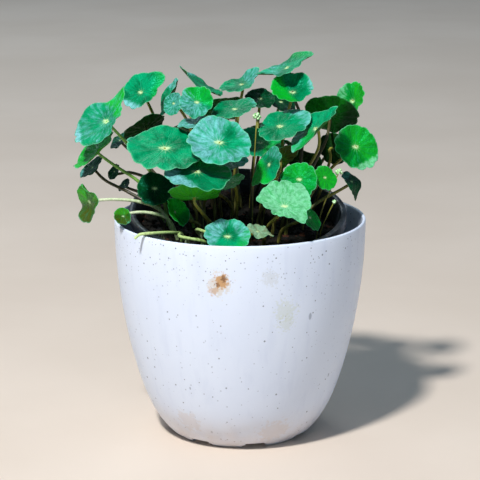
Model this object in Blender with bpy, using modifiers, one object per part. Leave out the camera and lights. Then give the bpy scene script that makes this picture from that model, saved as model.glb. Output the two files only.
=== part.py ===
"""Potted dollar pennywort: a white plastic pot, a black nursery pot leaning in it, soil, runners
and round crinkled leaves, each fused to its own stalk. Metres, +Z up, standing on z = 0."""

import math
import random
from collections import namedtuple
from itertools import product

import bmesh
import bpy
from mathutils import Matrix, Vector
from mathutils.geometry import delaunay_2d_cdt
from mathutils.kdtree import KDTree

MM = 0.001

# The pot's axis, from the middle of the whole plant
POT_AXIS = (8.5 * MM, -0.9 * MM, 0)

# White outer pot
POT_HEIGHT = 131 * MM
POT_RADIUS = 75 * MM
POT_WALL = 2.2 * MM
POT_BELLY = 26 * MM
POT_TUCK = 8 * MM
POT_FLOOR = 6.5 * MM
FOOT_RECESS = 4.0 * MM
FOOT_WIDTH = 5.6 * MM
POT_SIDES = 46
POT_STEPS = 8
NOTCHES = 8
NOTCH_WIDTH = 15 * MM
NOTCH_HEIGHT = 3.5 * MM
NOTCH_START = math.radians(-78)
DRAIN_RADIUS = 3.5 * MM
DRAIN_CIRCLE = 22 * MM
POT_DRAINS = 4

# Black nursery pot, which leans towards the front
NURSERY_HEIGHT = 126 * MM
NURSERY_RIM = 64.2 * MM
NURSERY_TOP = 62.0 * MM
NURSERY_BASE = 39.5 * MM
NURSERY_WALL = 1.2 * MM
NURSERY_LIP = 6.5 * MM
NURSERY_EDGE = 0.8 * MM
NURSERY_FLOOR = 1.5 * MM
NURSERY_DRAINS = 5
NURSERY_SIDES = 34
NURSERY_LEAN = math.radians(10.4)
NURSERY_ROLL = math.radians(0.9)
NURSERY_MOUTH = (-1.2 * MM, -8.4 * MM, 137.6 * MM)

# Soil
GAP = 0.3 * MM
SOIL_BELOW_RIM = 14 * MM
SOIL_MOUND = 3 * MM
SOIL_BUMP = 0.9 * MM
SOIL_RINGS = (0.4, 0.7)
HOLE_RADIUS = 1.95 * MM
ROOT_DEPTH = 4 * MM
ROOT_HEAD = 1 * MM

# Leaves
BLADE = 0.65 * MM
CRENATION = 0.035
UNEVENNESS = 0.02
BEND_SOFTNESS = 0.25
GOLDEN_ANGLE = math.radians(137.5)
SAMPLE_STEP = 2.4 * MM

# Stalks
STALK_FOOT = 1.25 * MM
STALK_TOP = 0.95 * MM
STALK_STEPS = 4
STALK_SAMPLE = 2.5 * MM
STALK_RISE = 0.4
STALK_ARRIVAL = 0.3
JOINT_LENGTH = 3 * MM
JOINT_SUNK = 0.05 * MM
BLADE_CLEAR = 3.1 * MM
STALK_CLEAR = 3.0 * MM
WALL_CLEAR = 2.2 * MM
BOWS = (0, 7 * MM, 14 * MM, 21 * MM, 28 * MM)
BOW_SHARES = ((1, 1), (0, 1), (1, 0))
ROOT_INWARDS = 0.55
ROOT_TRIES = 30
ROOT_STEP = 4.4 * MM
ROOT_LIMIT = 46 * MM

# Leaves at the back, where a seeded rule sets them
BACK_SEED = 11
BACK_LEAVES = 7
BACK_CLEAR = 3.0 * MM
BACK_SIDES = (-52, 78)
BACK_AZIMUTHS = (25, 155)
BACK_REACH = (34, 70)
BACK_HEIGHTS = (154, 200)
BACK_DROOP = 0.2
BACK_RADII = (11, 18)
BACK_TILTS = (15, 45)

Leaf = namedtuple(
    "Leaf",
    "place radius leans bends cup wave joint oval tips",
    defaults=((), 0.10, 0.05, (180, 0.06), (30, 0.03), ()),
)

# A leaf's place is where its stalk joins the blade, in millimetres from the pot's axis and foot.
# It leans towards an azimuth (0 is right, -90 is the front) by an angle from level. A bend is
# (direction in the blade from its lowest edge, start in radii, angle upwards). The joint and the
# oval are (direction, share of the radius): where the joint lies off the middle, and how much
# longer the blade is that way. A tip is (direction, length in radii, half width in degrees): a
# corner of the outline, or a notch in it where the length is below zero.
LEFT_LEAVES = (
    Leaf(
        (-77.5, -12, 190.5), 17, (-137, 42), bends=((120, 0.05, 12),), joint=(115, 0.3),
        tips=((185, 0.5, 20), (225, -0.2, 20)),
    ),
    Leaf((-84, -4, 171), 15, (-169, 41), cup=0.2),
    Leaf((-88, 8, 159), 8.5, (-158, 41)),
    Leaf(
        (-59, 18, 202.5), 11.7, (-129, 54), bends=((100, 0.4, -30),), joint=(60, 0.15),
        tips=((145, 0.5, 22),),
    ),
    Leaf((-56, 12, 182), 13, (129, 44)),
    Leaf((-72, 20, 173), 6.5, (-150, 40)),
    Leaf((-75, 10, 156), 5, (-145, 58)),
    Leaf((-69, 10, 148), 4.5, (-150, 45)),
    Leaf((-88, -18, 144), 12, (-150, 95), bends=((0, 0.3, 40), (180, 0.4, 30)), wave=0.12),
    Leaf((-68, -30, 138), 5.5, (-70, 50), bends=((90, 0.1, 50),)),
)
TOP_LEAVES = (
    Leaf((-41, 28, 198), 12, (-160, 65), bends=((90, 0.0, 25),)),
    Leaf(
        (-20.5, 10, 206.5), 14.5, (3, 28), bends=((180, 0.4, 15),), joint=(0, 0.3),
        tips=((180, 0.1, 15),),
    ),
    Leaf((-25, -13, 202), 10, (-101, 52), cup=0.25, wave=0.14),
    Leaf((-39, 6, 198), 7, (-126, 61)),
    Leaf((-3, -5, 196.5), 13.5, (-134, 16)),
    Leaf((1, 41, 203.5), 13, (-150, 16), bends=((170, 0.2, 35),), tips=((165, 0.2, 20),)),
    Leaf(
        (28, 14, 218), 15.5, (-168, 27), bends=((0, 0.4, 25),),
        tips=((180, 0.2, 18), (0, 0.2, 12)),
    ),
    Leaf((31, 1, 205.5), 12.5, (-98, 32), cup=0.42),
    Leaf((12, 40, 195), 9, (-90, 31)),
    Leaf((25, 51, 191), 9, (-56, 29)),
    Leaf((54, 14, 190), 16.5, (77, 49)),
    Leaf((68, 31, 195), 12.5, (-131, 60), bends=((90, 0.0, 25),)),
)
FRONT_LEAVES = (
    Leaf((-43, -34, 179), 22, (-86, 22), cup=0.05),
    Leaf((-12, -42, 184), 18, (-85, 36), cup=0.15, wave=0.09),
    Leaf((-7, -28, 170), 12, (-113, 18)),
    Leaf((-24.5, -46.5, 168), 17.2, (-72, 25), joint=(180, 0.22), oval=(90, 0.1)),
    Leaf((-26, -42, 152), 15, (90, 30), cup=0.25),
    Leaf((-26, -15, 190), 10, (-144, 12)),
    Leaf((-4, -21, 156), 8, (-156, 28)),
    Leaf((23, -14, 188), 14.5, (-122, 28), joint=(270, 0.18), tips=((130, 0.25, 20),)),
    Leaf(
        (44, -22, 188), 15, (-149, 39), bends=((90, 0.1, 25),),
        tips=((165, 0.25, 20), (10, 0.25, 20)),
    ),
    Leaf((17, -32, 169), 11.5, (-158, 62), bends=((90, 0.3, -20),), tips=((330, 0.45, 20),)),
    Leaf((23, -14.5, 169), 11, (110, 48), tips=((225, 0.35, 20),)),
    Leaf((34, -40, 162), 10.5, (-99, 55)),
    Leaf((49, -30, 161), 7.2, (-59, 63)),
    Leaf(
        (25, -60, 150.5), 13.5, (-78, 35), joint=(340, 0.35),
        tips=((250, 0.15, 15), (140, 0.15, 18), (35, 0.4, 16)),
    ),
    Leaf((68, -4, 174), 13.5, (-68, 61), cup=0.15),
    Leaf((55, 12, 170), 10, (56, 80)),
    Leaf((66, -2, 152.5), 7.7, (-30, 42), bends=((0, 0.2, -45),), tips=((0, 0.4, 18),)),
)
LOW_LEAVES = (
    Leaf((-50, -14, 151), 10.5, (-90, 50)),
    Leaf((-38, -28, 140), 8.7, (-16, 59), bends=((90, 0.0, 50),)),
    Leaf((40, -42, 140), 8, (-27, 57)),
    Leaf((-7, -57.5, 132.5), 13, (-90, 32), cup=0.2),
    Leaf(
        (10, -50, 133.5), 6.5, (-52, 21), wave=0.2,
        tips=((145, 0.6, 15), (55, 0.4, 14), (235, 0.3, 15)),
    ),
)
MIDDLE_LEAVES = (
    Leaf((12, 8, 174), 14, (-80, 25)),
    Leaf((36, 8, 163), 13, (70, 40)),
)

DRY_LEAF = LOW_LEAVES[-1]

# Creeping stems, in millimetres: the root in the soil, points on the way, and the end, which is
# another root or, with a height, a free tip over the pot's rim.
RUNNERS = (
    (
        (-34, -26), (-37, -38, 130), (-41, -45, 132), (-50, -50, 132.8), (-57, -52.5, 132.6),
        (-60, -54, 130.5),
    ),
    ((-30, -38), (-34, -47, 131.5), (-34, -56, 132.3), (-27, -60, 131.8), (-20, -58, 129.5), (-17, -49)),
    ((-22, -34), (-25, -43, 133), (-21, -50, 134), (-14, -50, 131), (-9, -41)),
)
RUNNER_RADIUS = 1.1 * MM
RUNNER_STEPS = 2


def pot_radius(height):
    """Outer radius of the white pot at a height."""
    depth = 1 - height / POT_HEIGHT
    return POT_RADIUS - POT_BELLY * depth**2 - POT_TUCK * depth**12


def nursery_radius(height):
    """Inner radius of the nursery pot at a height up its own axis."""
    outer = NURSERY_BASE + (NURSERY_TOP - NURSERY_BASE) * height / NURSERY_HEIGHT
    return outer - NURSERY_WALL


def nursery_seat():
    """From the nursery pot's own frame, standing on its base, to the outer pot's."""
    lean = Matrix.Rotation(NURSERY_LEAN, 4, "X") @ Matrix.Rotation(NURSERY_ROLL, 4, "Y")
    return Matrix.Translation(NURSERY_MOUTH) @ lean @ Matrix.Translation((0, 0, -NURSERY_HEIGHT))


def soil_top(x, y):
    """Height of the soil's surface up the nursery pot's axis."""
    out = math.hypot(x, y) / NURSERY_TOP
    bump = math.sin(x / (7 * MM) + 1) * math.cos(y / (6 * MM))
    return NURSERY_HEIGHT - SOIL_BELOW_RIM + SOIL_MOUND * (1 - out**2) + SOIL_BUMP * bump


def soil_height(x, y):
    """Height above the ground of the soil under a point, seen from the pot's axis."""
    to_nursery = nursery_seat().inverted()
    height = NURSERY_MOUTH[2] - SOIL_BELOW_RIM
    for _ in range(4):
        local = to_nursery @ Vector((x, y, height))
        height += soil_top(local.x, local.y) - local.z
    return height


def clear_scene():
    for old in list(bpy.data.objects):
        bpy.data.objects.remove(old, do_unlink=True)


def new_collection(name):
    collection = bpy.data.collections.new(name)
    bpy.context.scene.collection.children.link(collection)
    return collection


def finish(name, colour, roughness):
    """A Principled material with one colour."""
    material = bpy.data.materials.new(name)
    material.use_nodes = True
    shader = material.node_tree.nodes["Principled BSDF"]
    shader.inputs["Base Color"].default_value = (*colour, 1)
    shader.inputs["Roughness"].default_value = roughness
    shader.inputs["Metallic"].default_value = 0
    return material


def add_object(name, data, collection):
    made = bpy.data.objects.new(name, data)
    collection.objects.link(made)
    return made


def apply_modifiers(made):
    """Replaces the object's mesh by the one that its modifiers make."""
    bpy.context.view_layer.update()
    graph = bpy.context.evaluated_depsgraph_get()
    result = bpy.data.meshes.new_from_object(made.evaluated_get(graph))
    made.modifiers.clear()
    made.data = result


def smooth(made, angle=40):
    made.data.shade_smooth()
    made.data.set_sharp_from_angle(angle=math.radians(angle))


def turned(name, profile, sides, collection):
    """A profile of (radius, height) points turned about Z. It runs down the outer side."""
    mesh = bpy.data.meshes.new(name)
    points = [(radius, 0, height) for radius, height in profile]
    mesh.from_pydata(points, [(i, i + 1) for i in range(len(points) - 1)], [])
    made = add_object(name, mesh, collection)
    screw = made.modifiers.new("turn", "SCREW")
    screw.steps = sides
    screw.render_steps = sides
    screw.use_merge_vertices = True
    screw.merge_threshold = 0.0001
    apply_modifiers(made)
    return made


def add_cutter(cutters, shape, matrix):
    """A hidden helper made from a bmesh and placed by a matrix."""
    mesh = bpy.data.meshes.new("cutter")
    shape.transform(matrix)
    shape.to_mesh(mesh)
    shape.free()
    made = add_object("cutter", mesh, cutters)
    made.hide_render = True
    made.display_type = "WIRE"


def add_rod_cutter(cutters, matrix, radius, length, sides):
    rod = bmesh.new()
    bmesh.ops.create_cone(
        rod, cap_ends=True, segments=sides, radius1=radius, radius2=radius, depth=length
    )
    add_cutter(cutters, rod, matrix)


def add_drain_cutters(cutters, seat, length, count):
    for k in range(count):
        turn = math.tau * (k + 0.5) / count
        spot = (DRAIN_CIRCLE * math.cos(turn), DRAIN_CIRCLE * math.sin(turn), 0)
        add_rod_cutter(cutters, seat @ Matrix.Translation(spot), DRAIN_RADIUS, length, 8)


def cut_by(made, cutters):
    cut = made.modifiers.new("cut", "BOOLEAN")
    cut.operation = "DIFFERENCE"
    cut.solver = "EXACT"
    cut.operand_type = "COLLECTION"
    cut.collection = cutters


def make_outer_pot(collection):
    """The white pot: a thin belly, a rounded rim and a foot ring with notches."""
    heights = [POT_HEIGHT * (1 - k / POT_STEPS) ** 1.7 for k in range(1, POT_STEPS + 1)]
    rim = POT_WALL / 2
    inside = [(pot_radius(z) - POT_WALL, z) for z in reversed(heights) if z > POT_FLOOR + POT_WALL]
    lip = []
    for angle in (180, 135, 90, 45, 0):
        turn = math.radians(angle)
        lip.append((POT_RADIUS - rim + rim * math.cos(turn), POT_HEIGHT - rim + rim * math.sin(turn)))
    foot = pot_radius(0)
    corner = pot_radius(POT_FLOOR) - 2 * POT_WALL
    profile = [(0, POT_FLOOR), (corner, POT_FLOOR), *inside, *lip]
    profile += [(pot_radius(z), z) for z in heights]
    profile += [(foot - FOOT_WIDTH, 0), (foot - FOOT_WIDTH, FOOT_RECESS), (0, FOOT_RECESS)]
    pot = turned("outer_pot", profile, POT_SIDES, collection)
    smooth(pot)
    cutters = new_collection("outer_pot_cutters")
    size = Matrix.Diagonal((4 * FOOT_WIDTH, NOTCH_WIDTH, 2 * NOTCH_HEIGHT, 1))
    for k in range(NOTCHES):
        turn = Matrix.Rotation(NOTCH_START + k * math.tau / NOTCHES, 4, "Z")
        block = bmesh.new()
        bmesh.ops.create_cube(block, size=1)
        add_cutter(cutters, block, turn @ Matrix.Translation((foot, 0, 0)) @ size)
    add_drain_cutters(cutters, Matrix.Translation((0, 0, POT_FLOOR)), 3 * POT_FLOOR, POT_DRAINS)
    cut_by(pot, cutters)
    pot.data.materials.append(finish("white_plastic", (0.82, 0.86, 0.90), 0.35))


def make_nursery_pot(collection):
    """The black pot: a straight taper with a thick lip, leaning on the outer pot's wall."""
    edge = NURSERY_EDGE
    middle = NURSERY_HEIGHT / 2
    lip_foot = NURSERY_HEIGHT - NURSERY_LIP
    profile = [
        (0, NURSERY_FLOOR),
        (nursery_radius(NURSERY_FLOOR) - edge, NURSERY_FLOOR),
        (nursery_radius(NURSERY_FLOOR + edge), NURSERY_FLOOR + edge),
        (nursery_radius(middle), middle),
        (nursery_radius(NURSERY_HEIGHT - edge), NURSERY_HEIGHT - edge),
        (nursery_radius(NURSERY_HEIGHT) + edge, NURSERY_HEIGHT),
        (NURSERY_RIM - edge, NURSERY_HEIGHT),
        (NURSERY_RIM, NURSERY_HEIGHT - edge),
        (NURSERY_RIM, lip_foot),
        (nursery_radius(lip_foot) + NURSERY_WALL, lip_foot - edge),
        (nursery_radius(middle) + NURSERY_WALL, middle),
        (nursery_radius(2 * edge) + NURSERY_WALL, 2 * edge),
        (NURSERY_BASE - 2 * edge, 0),
        (0, 0),
    ]
    pot = turned("nursery_pot", profile, NURSERY_SIDES, collection)
    smooth(pot)
    pot.matrix_world = nursery_seat()
    cutters = new_collection("nursery_pot_cutters")
    add_drain_cutters(cutters, nursery_seat(), 4 * NURSERY_FLOOR, NURSERY_DRAINS)
    cut_by(pot, cutters)
    pot.data.materials.append(finish("black_plastic", (0.02, 0.025, 0.03), 0.45))


def make_soil(collection, feet):
    """The soil fills the nursery pot, with a low mound on top and a plain hole for each stem."""
    bottom = NURSERY_FLOOR + GAP
    corner = bottom + 2 * NURSERY_EDGE
    edge = NURSERY_HEIGHT - SOIL_BELOW_RIM
    side = nursery_radius(edge) - GAP
    profile = [(side * ring, edge) for ring in (0, *SOIL_RINGS)]
    profile += [(side, edge), (nursery_radius(corner) - GAP, corner)]
    profile += [(nursery_radius(bottom) - 2 * NURSERY_EDGE, bottom), (0, bottom)]
    soil = turned("soil", profile, NURSERY_SIDES, collection)
    for point in soil.data.vertices:
        if point.co.z > edge - GAP:
            point.co.z = soil_top(point.co.x, point.co.y)
    soil.matrix_world = nursery_seat()
    cutters = new_collection("soil_cutters")
    for foot in feet:
        length = 2 * ROOT_DEPTH + GAP
        middle = soil_height(*foot) + ROOT_DEPTH - length / 2
        add_rod_cutter(cutters, Matrix.Translation((*foot, middle)), HOLE_RADIUS, length, 5)
    cut_by(soil, cutters)
    soil.data.materials.append(finish("soil", (0.03, 0.02, 0.014), 0.95))


def leaf_matrix(leaf):
    """From the blade's own frame, where X runs down the slope, to the pot's."""
    azimuth, tilt = (math.radians(angle) for angle in leaf.leans)
    across = Vector((math.cos(azimuth), math.sin(azimuth), 0))
    normal = across * math.sin(tilt) + Vector((0, 0, math.cos(tilt)))
    downhill = across * math.cos(tilt) - Vector((0, 0, math.sin(tilt)))
    turn = Matrix((downhill, normal.cross(downhill), normal)).transposed().to_4x4()
    return Matrix.Translation(Vector(leaf.place) * MM) @ turn


def scallops(leaf):
    """How many scallops the blade's edge has."""
    if leaf.radius > 12:
        return 13
    return 11 if leaf.radius > 7 else 9


def bent(point, radius, bend):
    """A point of the blade after one soft bend across it."""
    direction, start, angle = bend
    along = Vector((math.cos(math.radians(direction)), math.sin(math.radians(direction))))
    past = point.x * along.x + point.y * along.y - start * radius
    if past <= 0:
        return point
    side = point.y * along.x - point.x * along.y
    soft = BEND_SOFTNESS * radius
    full = math.radians(angle)
    turned_by = full * min(past / soft, 1)
    straight = max(past - soft, 0)
    run = math.sin(turned_by) * soft / full + straight * math.cos(full)
    rise = (1 - math.cos(turned_by)) * soft / full + straight * math.sin(full)
    out = start * radius + run - point.z * math.sin(turned_by)
    height = rise + point.z * math.cos(turned_by)
    return Vector((along.x * out - along.y * side, along.y * out + along.x * side, height))


def blade_point(leaf, phase, turn, share):
    """A point of the blade's middle surface, by its angle and its share of the way to the edge."""
    radius = leaf.radius * MM
    joint, off = leaf.joint
    long_way, longer = leaf.oval
    edge = 1 - off * math.cos(turn - math.radians(joint))
    edge += longer * math.cos(2 * (turn - math.radians(long_way)))
    edge += UNEVENNESS * math.cos(3 * turn - phase)
    for direction, length, spread in leaf.tips:
        apart = (turn - math.radians(direction) + math.pi) % math.tau - math.pi
        edge += length * share * math.exp(-((apart / math.radians(spread)) ** 2))
    edge *= share * (1 + CRENATION * share**4 * math.cos(scallops(leaf) * turn))
    wave = leaf.wave * share**2.5 * math.cos(4 * turn + 2 * phase)
    height = leaf.cup * share**2 + wave
    point = Vector((edge * math.cos(turn), edge * math.sin(turn), height)) * radius
    for bend in leaf.bends:
        point = bent(point, radius, bend)
    return point


def blade_samples(leaf, phase):
    """Points spread over the blade, about a step apart, in the pot's frame."""
    matrix = leaf_matrix(leaf)
    rings = math.ceil(leaf.radius * MM / SAMPLE_STEP)
    found = [matrix @ blade_point(leaf, phase, 0, 0)]
    for ring in range(1, rings + 1):
        count = 6 * ring
        for k in range(count):
            found.append(matrix @ blade_point(leaf, phase, math.tau * k / count, ring / rings))
    return found


class Thicket:
    """What already stands in the pot: sample points of its blades, stalks and feet."""

    def __init__(self):
        self.points = []
        self.owners = []
        self.tree = None
        self.stalks = []
        self.feet = []

    def add_blade(self, owner, samples):
        self.points += samples
        self.owners += [owner] * len(samples)

    def sort_blades(self):
        """Readies the blades' points for searching."""
        self.tree = KDTree(len(self.points))
        for index, point in enumerate(self.points):
            self.tree.insert(point, index)
        self.tree.balance()

    def add_stalk(self, curve):
        self.feet.append(curve[0].xy)
        self.stalks += along(stalk_line(curve))

    def near_blade(self, point, owner, distance):
        found = self.tree.find_range(point, distance)
        return any(self.owners[index] != owner for _, index, _ in found)

    def near_stalk(self, point):
        return any((point - other).length < STALK_CLEAR for other in self.stalks)

    def foot_is_free(self, foot):
        return all((foot - other).length >= 0.99 * ROOT_STEP for other in self.feet)


def near_wall(point):
    """Whether a stem's middle comes too close to a pot's wall."""
    local = nursery_seat().inverted() @ point
    if local.z < NURSERY_HEIGHT + WALL_CLEAR:
        if math.hypot(local.x, local.y) > nursery_radius(local.z) - WALL_CLEAR:
            return True
    inside = POT_RADIUS - POT_WALL - WALL_CLEAR
    return point.z < POT_HEIGHT + WALL_CLEAR and math.hypot(point.x, point.y) > inside


def stalk_curve(leaf, foot, low_bow, high_bow):
    """The stalk's four Bezier points: from its foot in the soil to the underside of its blade."""
    matrix = leaf_matrix(leaf)
    top = matrix.translation
    normal = matrix.to_3x3() @ Vector((0, 0, 1))
    start = Vector((*foot, soil_height(*foot) + ROOT_HEAD))
    reach = (top - start).length
    rise = Vector((0, 0, STALK_RISE * reach))
    return (start, start + rise + low_bow, top - normal * STALK_ARRIVAL * reach + high_bow, top)


def on_curve(curve, share):
    rest = 1 - share
    weights = (rest**3, 3 * rest**2 * share, 3 * rest * share**2, share**3)
    return sum((weight * point for weight, point in zip(weights, curve)), Vector((0, 0, 0)))


def stalk_line(curve):
    """The points that a stalk runs through, from its root in the soil to its blade."""
    points = [curve[0] - Vector((0, 0, ROOT_DEPTH + ROOT_HEAD))]
    points += [on_curve(curve, k / STALK_STEPS) for k in range(STALK_STEPS)]
    normal = (curve[3] - curve[2]).normalized()
    return [*points, curve[3] - JOINT_LENGTH * normal, curve[3] + JOINT_SUNK * normal]


def along(line):
    """Points about a step apart on a line of straight pieces."""
    found = []
    for start, end in zip(line, line[1:]):
        count = math.ceil((end - start).length / STALK_SAMPLE)
        found += [start.lerp(end, k / count) for k in range(count)]
    return found


def curve_is_clear(curve, owner, thicket):
    for point in along(stalk_line(curve)):
        if near_wall(point) or thicket.near_blade(point, owner, BLADE_CLEAR):
            return False
        if thicket.near_stalk(point):
            return False
    return True


def possible_feet(leaf):
    """Places in the soil for a leaf's stalk: the one nearest under it first, then round that."""
    home = Vector(leaf.place[:2]) * ROOT_INWARDS * MM
    for k in range(ROOT_TRIES):
        turn = k * GOLDEN_ANGLE
        foot = home + ROOT_STEP * math.sqrt(k) * Vector((math.cos(turn), math.sin(turn)))
        yield foot * min(1, ROOT_LIMIT / max(foot.length, ROOT_STEP))


def bows_of(size):
    """Bows of one size: sideways in eight directions, then upwards."""
    if not size:
        return [Vector((0, 0, 0))]
    turns = [k * math.tau / 8 for k in range(8)]
    sideways = [Vector((math.cos(turn), math.sin(turn), 0)) * size for turn in turns]
    return [*sideways, Vector((0, 0, size))]


def route_stalk(leaf, owner, thicket):
    """The straightest clear way for a stalk, or None."""
    for size in BOWS:
        for foot in possible_feet(leaf):
            if not thicket.foot_is_free(foot):
                continue
            for bow, (low, high) in product(bows_of(size), BOW_SHARES):
                curve = stalk_curve(leaf, foot, low * bow, high * bow)
                if curve_is_clear(curve, owner, thicket):
                    return curve
    return None


def back_leaf(draw):
    """A leaf somewhere over the back of the pot, facing outwards."""
    azimuth = draw.uniform(*BACK_AZIMUTHS)
    out = draw.uniform(*BACK_REACH)
    turn = math.radians(azimuth)
    height = draw.uniform(*BACK_HEIGHTS) - BACK_DROOP * out
    place = (out * math.cos(turn), out * math.sin(turn), height)
    return Leaf(place, draw.uniform(*BACK_RADII), (azimuth, draw.uniform(*BACK_TILTS)))


def stand_back_leaves(leaves, curves, thicket):
    """Fills the back of the bush with leaves that find room, for blade and stalk, among the others."""
    draw = random.Random(BACK_SEED)
    wanted = len(leaves) + BACK_LEAVES
    while len(leaves) < wanted:
        leaf = back_leaf(draw)
        owner = len(leaves)
        samples = blade_samples(leaf, owner * GOLDEN_ANGLE)
        sides = [point.x / MM for point in samples]
        if min(sides) < BACK_SIDES[0] or max(sides) > BACK_SIDES[1]:
            continue
        if any(thicket.near_blade(point, owner, BACK_CLEAR) for point in samples):
            continue
        if any(near_wall(point) or thicket.near_stalk(point) for point in samples):
            continue
        curve = route_stalk(leaf, owner, thicket)
        if curve:
            leaves.append(leaf)
            curves.append(curve)
            thicket.add_blade(owner, samples)
            thicket.sort_blades()
            thicket.add_stalk(curve)


def blade_sheet(name, leaf, phase):
    """A sheet of triangles from the stalk's joint out to the scalloped edge."""
    edge = 2 * scallops(leaf)
    polar = []
    for share, count in ((0, 1), (0.5, edge // 3), (1, edge)):
        polar += [(share, math.tau * k / count) for k in range(count)]
    flat = [Vector((share * math.cos(turn), share * math.sin(turn))) for share, turn in polar]
    border = list(range(len(flat) - edge, len(flat)))
    _, _, faces, origins, _, _ = delaunay_2d_cdt(flat, [], [border], 1, 1e-6)
    lifted = [blade_point(leaf, phase, polar[o[0]][1], polar[o[0]][0]) for o in origins]
    sheet = bpy.data.meshes.new(name)
    sheet.from_pydata(lifted, [], faces)
    sheet.transform(leaf_matrix(leaf))
    return sheet


def tube(name, points, radii, collection):
    """A closed six-sided tube through points, with a radius at each."""
    curve = bpy.data.curves.new(name, "CURVE")
    curve.dimensions = "3D"
    curve.bevel_depth = 1
    curve.bevel_resolution = 1
    curve.use_fill_caps = True
    spline = curve.splines.new("POLY")
    spline.points.add(len(points) - 1)
    for knot, point, radius in zip(spline.points, points, radii):
        knot.co = (*point, 1)
        knot.radius = radius
    path = add_object(name, curve, collection)
    bpy.context.view_layer.update()
    graph = bpy.context.evaluated_depsgraph_get()
    mesh = bpy.data.meshes.new_from_object(path.evaluated_get(graph))
    bpy.data.objects.remove(path)
    shape = bmesh.new()
    shape.from_mesh(mesh)
    bmesh.ops.remove_doubles(shape, verts=shape.verts, dist=1e-6)
    bmesh.ops.recalc_face_normals(shape, faces=shape.faces)
    shape.to_mesh(mesh)
    shape.free()
    return add_object(name, mesh, collection)


def runner_knots(points):
    """A runner's points, with each root led straight down into the soil."""
    knots = []
    for index, point in enumerate(points):
        if len(point) == 3:
            knots.append(Vector(point) * MM)
            continue
        root = Vector((*point, 0)) * MM
        root.z = soil_height(root.x, root.y) - ROOT_DEPTH
        above = root + Vector((0, 0, 2 * ROOT_DEPTH))
        knots += [above, root] if index else [root, above]
    return knots


def runner_path(points, steps):
    """A smooth Catmull-Rom curve through a runner's points, with some steps from one to the next."""
    knots = runner_knots(points)
    ends = [knots[0], *knots, knots[-1]]
    path = []
    for before, start, end, after in zip(ends, ends[1:], ends[2:], ends[3:]):
        count = 1 if start.xy == end.xy else steps
        for step in range(count):
            share = step / count
            slope = (end - before) * (share - 2 * share**2 + share**3) / 2
            slope += (after - start) * (share**3 - share**2) / 2
            path.append(start.lerp(end, 3 * share**2 - 2 * share**3) + slope)
    return [*path, knots[-1]]


def runner_feet():
    """Where the runners stand in the soil."""
    return [Vector(point) * MM for points in RUNNERS for point in points if len(point) == 2]


def make_runners(collection):
    green = finish("runner_green", (0.28, 0.42, 0.10), 0.45)
    for number, points in enumerate(RUNNERS, 1):
        path = runner_path(points, RUNNER_STEPS)
        runner = tube(f"runner_{number}", path, [RUNNER_RADIUS] * len(path), collection)
        smooth(runner)
        runner.data.materials.append(green)


def make_leaf(name, leaf, phase, curve, collection, material):
    """One blade with its stalk fused to the middle of its underside."""
    made = add_object(name, blade_sheet(name, leaf, phase), collection)
    thick = made.modifiers.new("thickness", "SOLIDIFY")
    thick.thickness = BLADE
    thick.offset = 0
    apply_modifiers(made)
    points = stalk_line(curve)
    shares = [k / (len(points) - 1) for k in range(len(points))]
    radii = [STALK_FOOT + (STALK_TOP - STALK_FOOT) * share for share in shares]
    stalk = tube("stalk", points, radii, collection)
    join = made.modifiers.new("stalk", "BOOLEAN")
    join.operation = "UNION"
    join.solver = "EXACT"
    join.object = stalk
    apply_modifiers(made)
    bpy.data.objects.remove(stalk)
    smooth(made)
    made.data.materials.append(material)


def arrange_leaves():
    """Every leaf of the bush with its stalk's curve."""
    leaves = [*FRONT_LEAVES, *TOP_LEAVES, *LEFT_LEAVES, *LOW_LEAVES, *MIDDLE_LEAVES]
    thicket = Thicket()
    for owner, leaf in enumerate(leaves):
        thicket.add_blade(owner, blade_samples(leaf, owner * GOLDEN_ANGLE))
    thicket.sort_blades()
    thicket.feet += runner_feet()
    for points in RUNNERS:
        thicket.stalks += along(runner_path(points, RUNNER_STEPS))
    curves = []
    for owner, leaf in enumerate(leaves):
        curves.append(route_stalk(leaf, owner, thicket))
        if curves[-1] is None:
            raise ValueError(f"no clear way for the stalk of leaf {owner + 1}")
        thicket.add_stalk(curves[-1])
    stand_back_leaves(leaves, curves, thicket)
    return leaves, curves


def make_leaves(collection):
    """Every leaf of the bush, and where their stalks stand in the soil."""
    green = finish("leaf_green", (0.02, 0.26, 0.09), 0.35)
    dry = finish("dry_leaf", (0.36, 0.38, 0.24), 0.8)
    leaves, curves = arrange_leaves()
    for owner, (leaf, curve) in enumerate(zip(leaves, curves)):
        material = dry if leaf == DRY_LEAF else green
        make_leaf(f"leaf_{owner + 1:02d}", leaf, owner * GOLDEN_ANGLE, curve, collection, material)
    return [curve[0].xy for curve in curves]


def main():
    clear_scene()
    collection = new_collection("potted_dollar_pennywort")
    axis = add_object("pot_axis", None, collection)
    make_outer_pot(collection)
    make_nursery_pot(collection)
    make_runners(collection)
    make_soil(collection, make_leaves(collection) + runner_feet())
    for made in bpy.data.objects:
        if made != axis:
            made.parent = axis
    axis.location = POT_AXIS


main()
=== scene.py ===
"""Looks of a potted dollar pennywort: crinkled round leaves on thin stalks, soil, creeping stems,
a black nursery pot and a speckled white outer pot. Metres, +Z up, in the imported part's frame."""

import logging
import math
import random
from dataclasses import dataclass
from enum import Enum
from functools import cache
from typing import Any, Callable, Iterable, Sequence

import bmesh
import bpy
import numpy as np
from mathutils import Matrix, Vector


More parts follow.
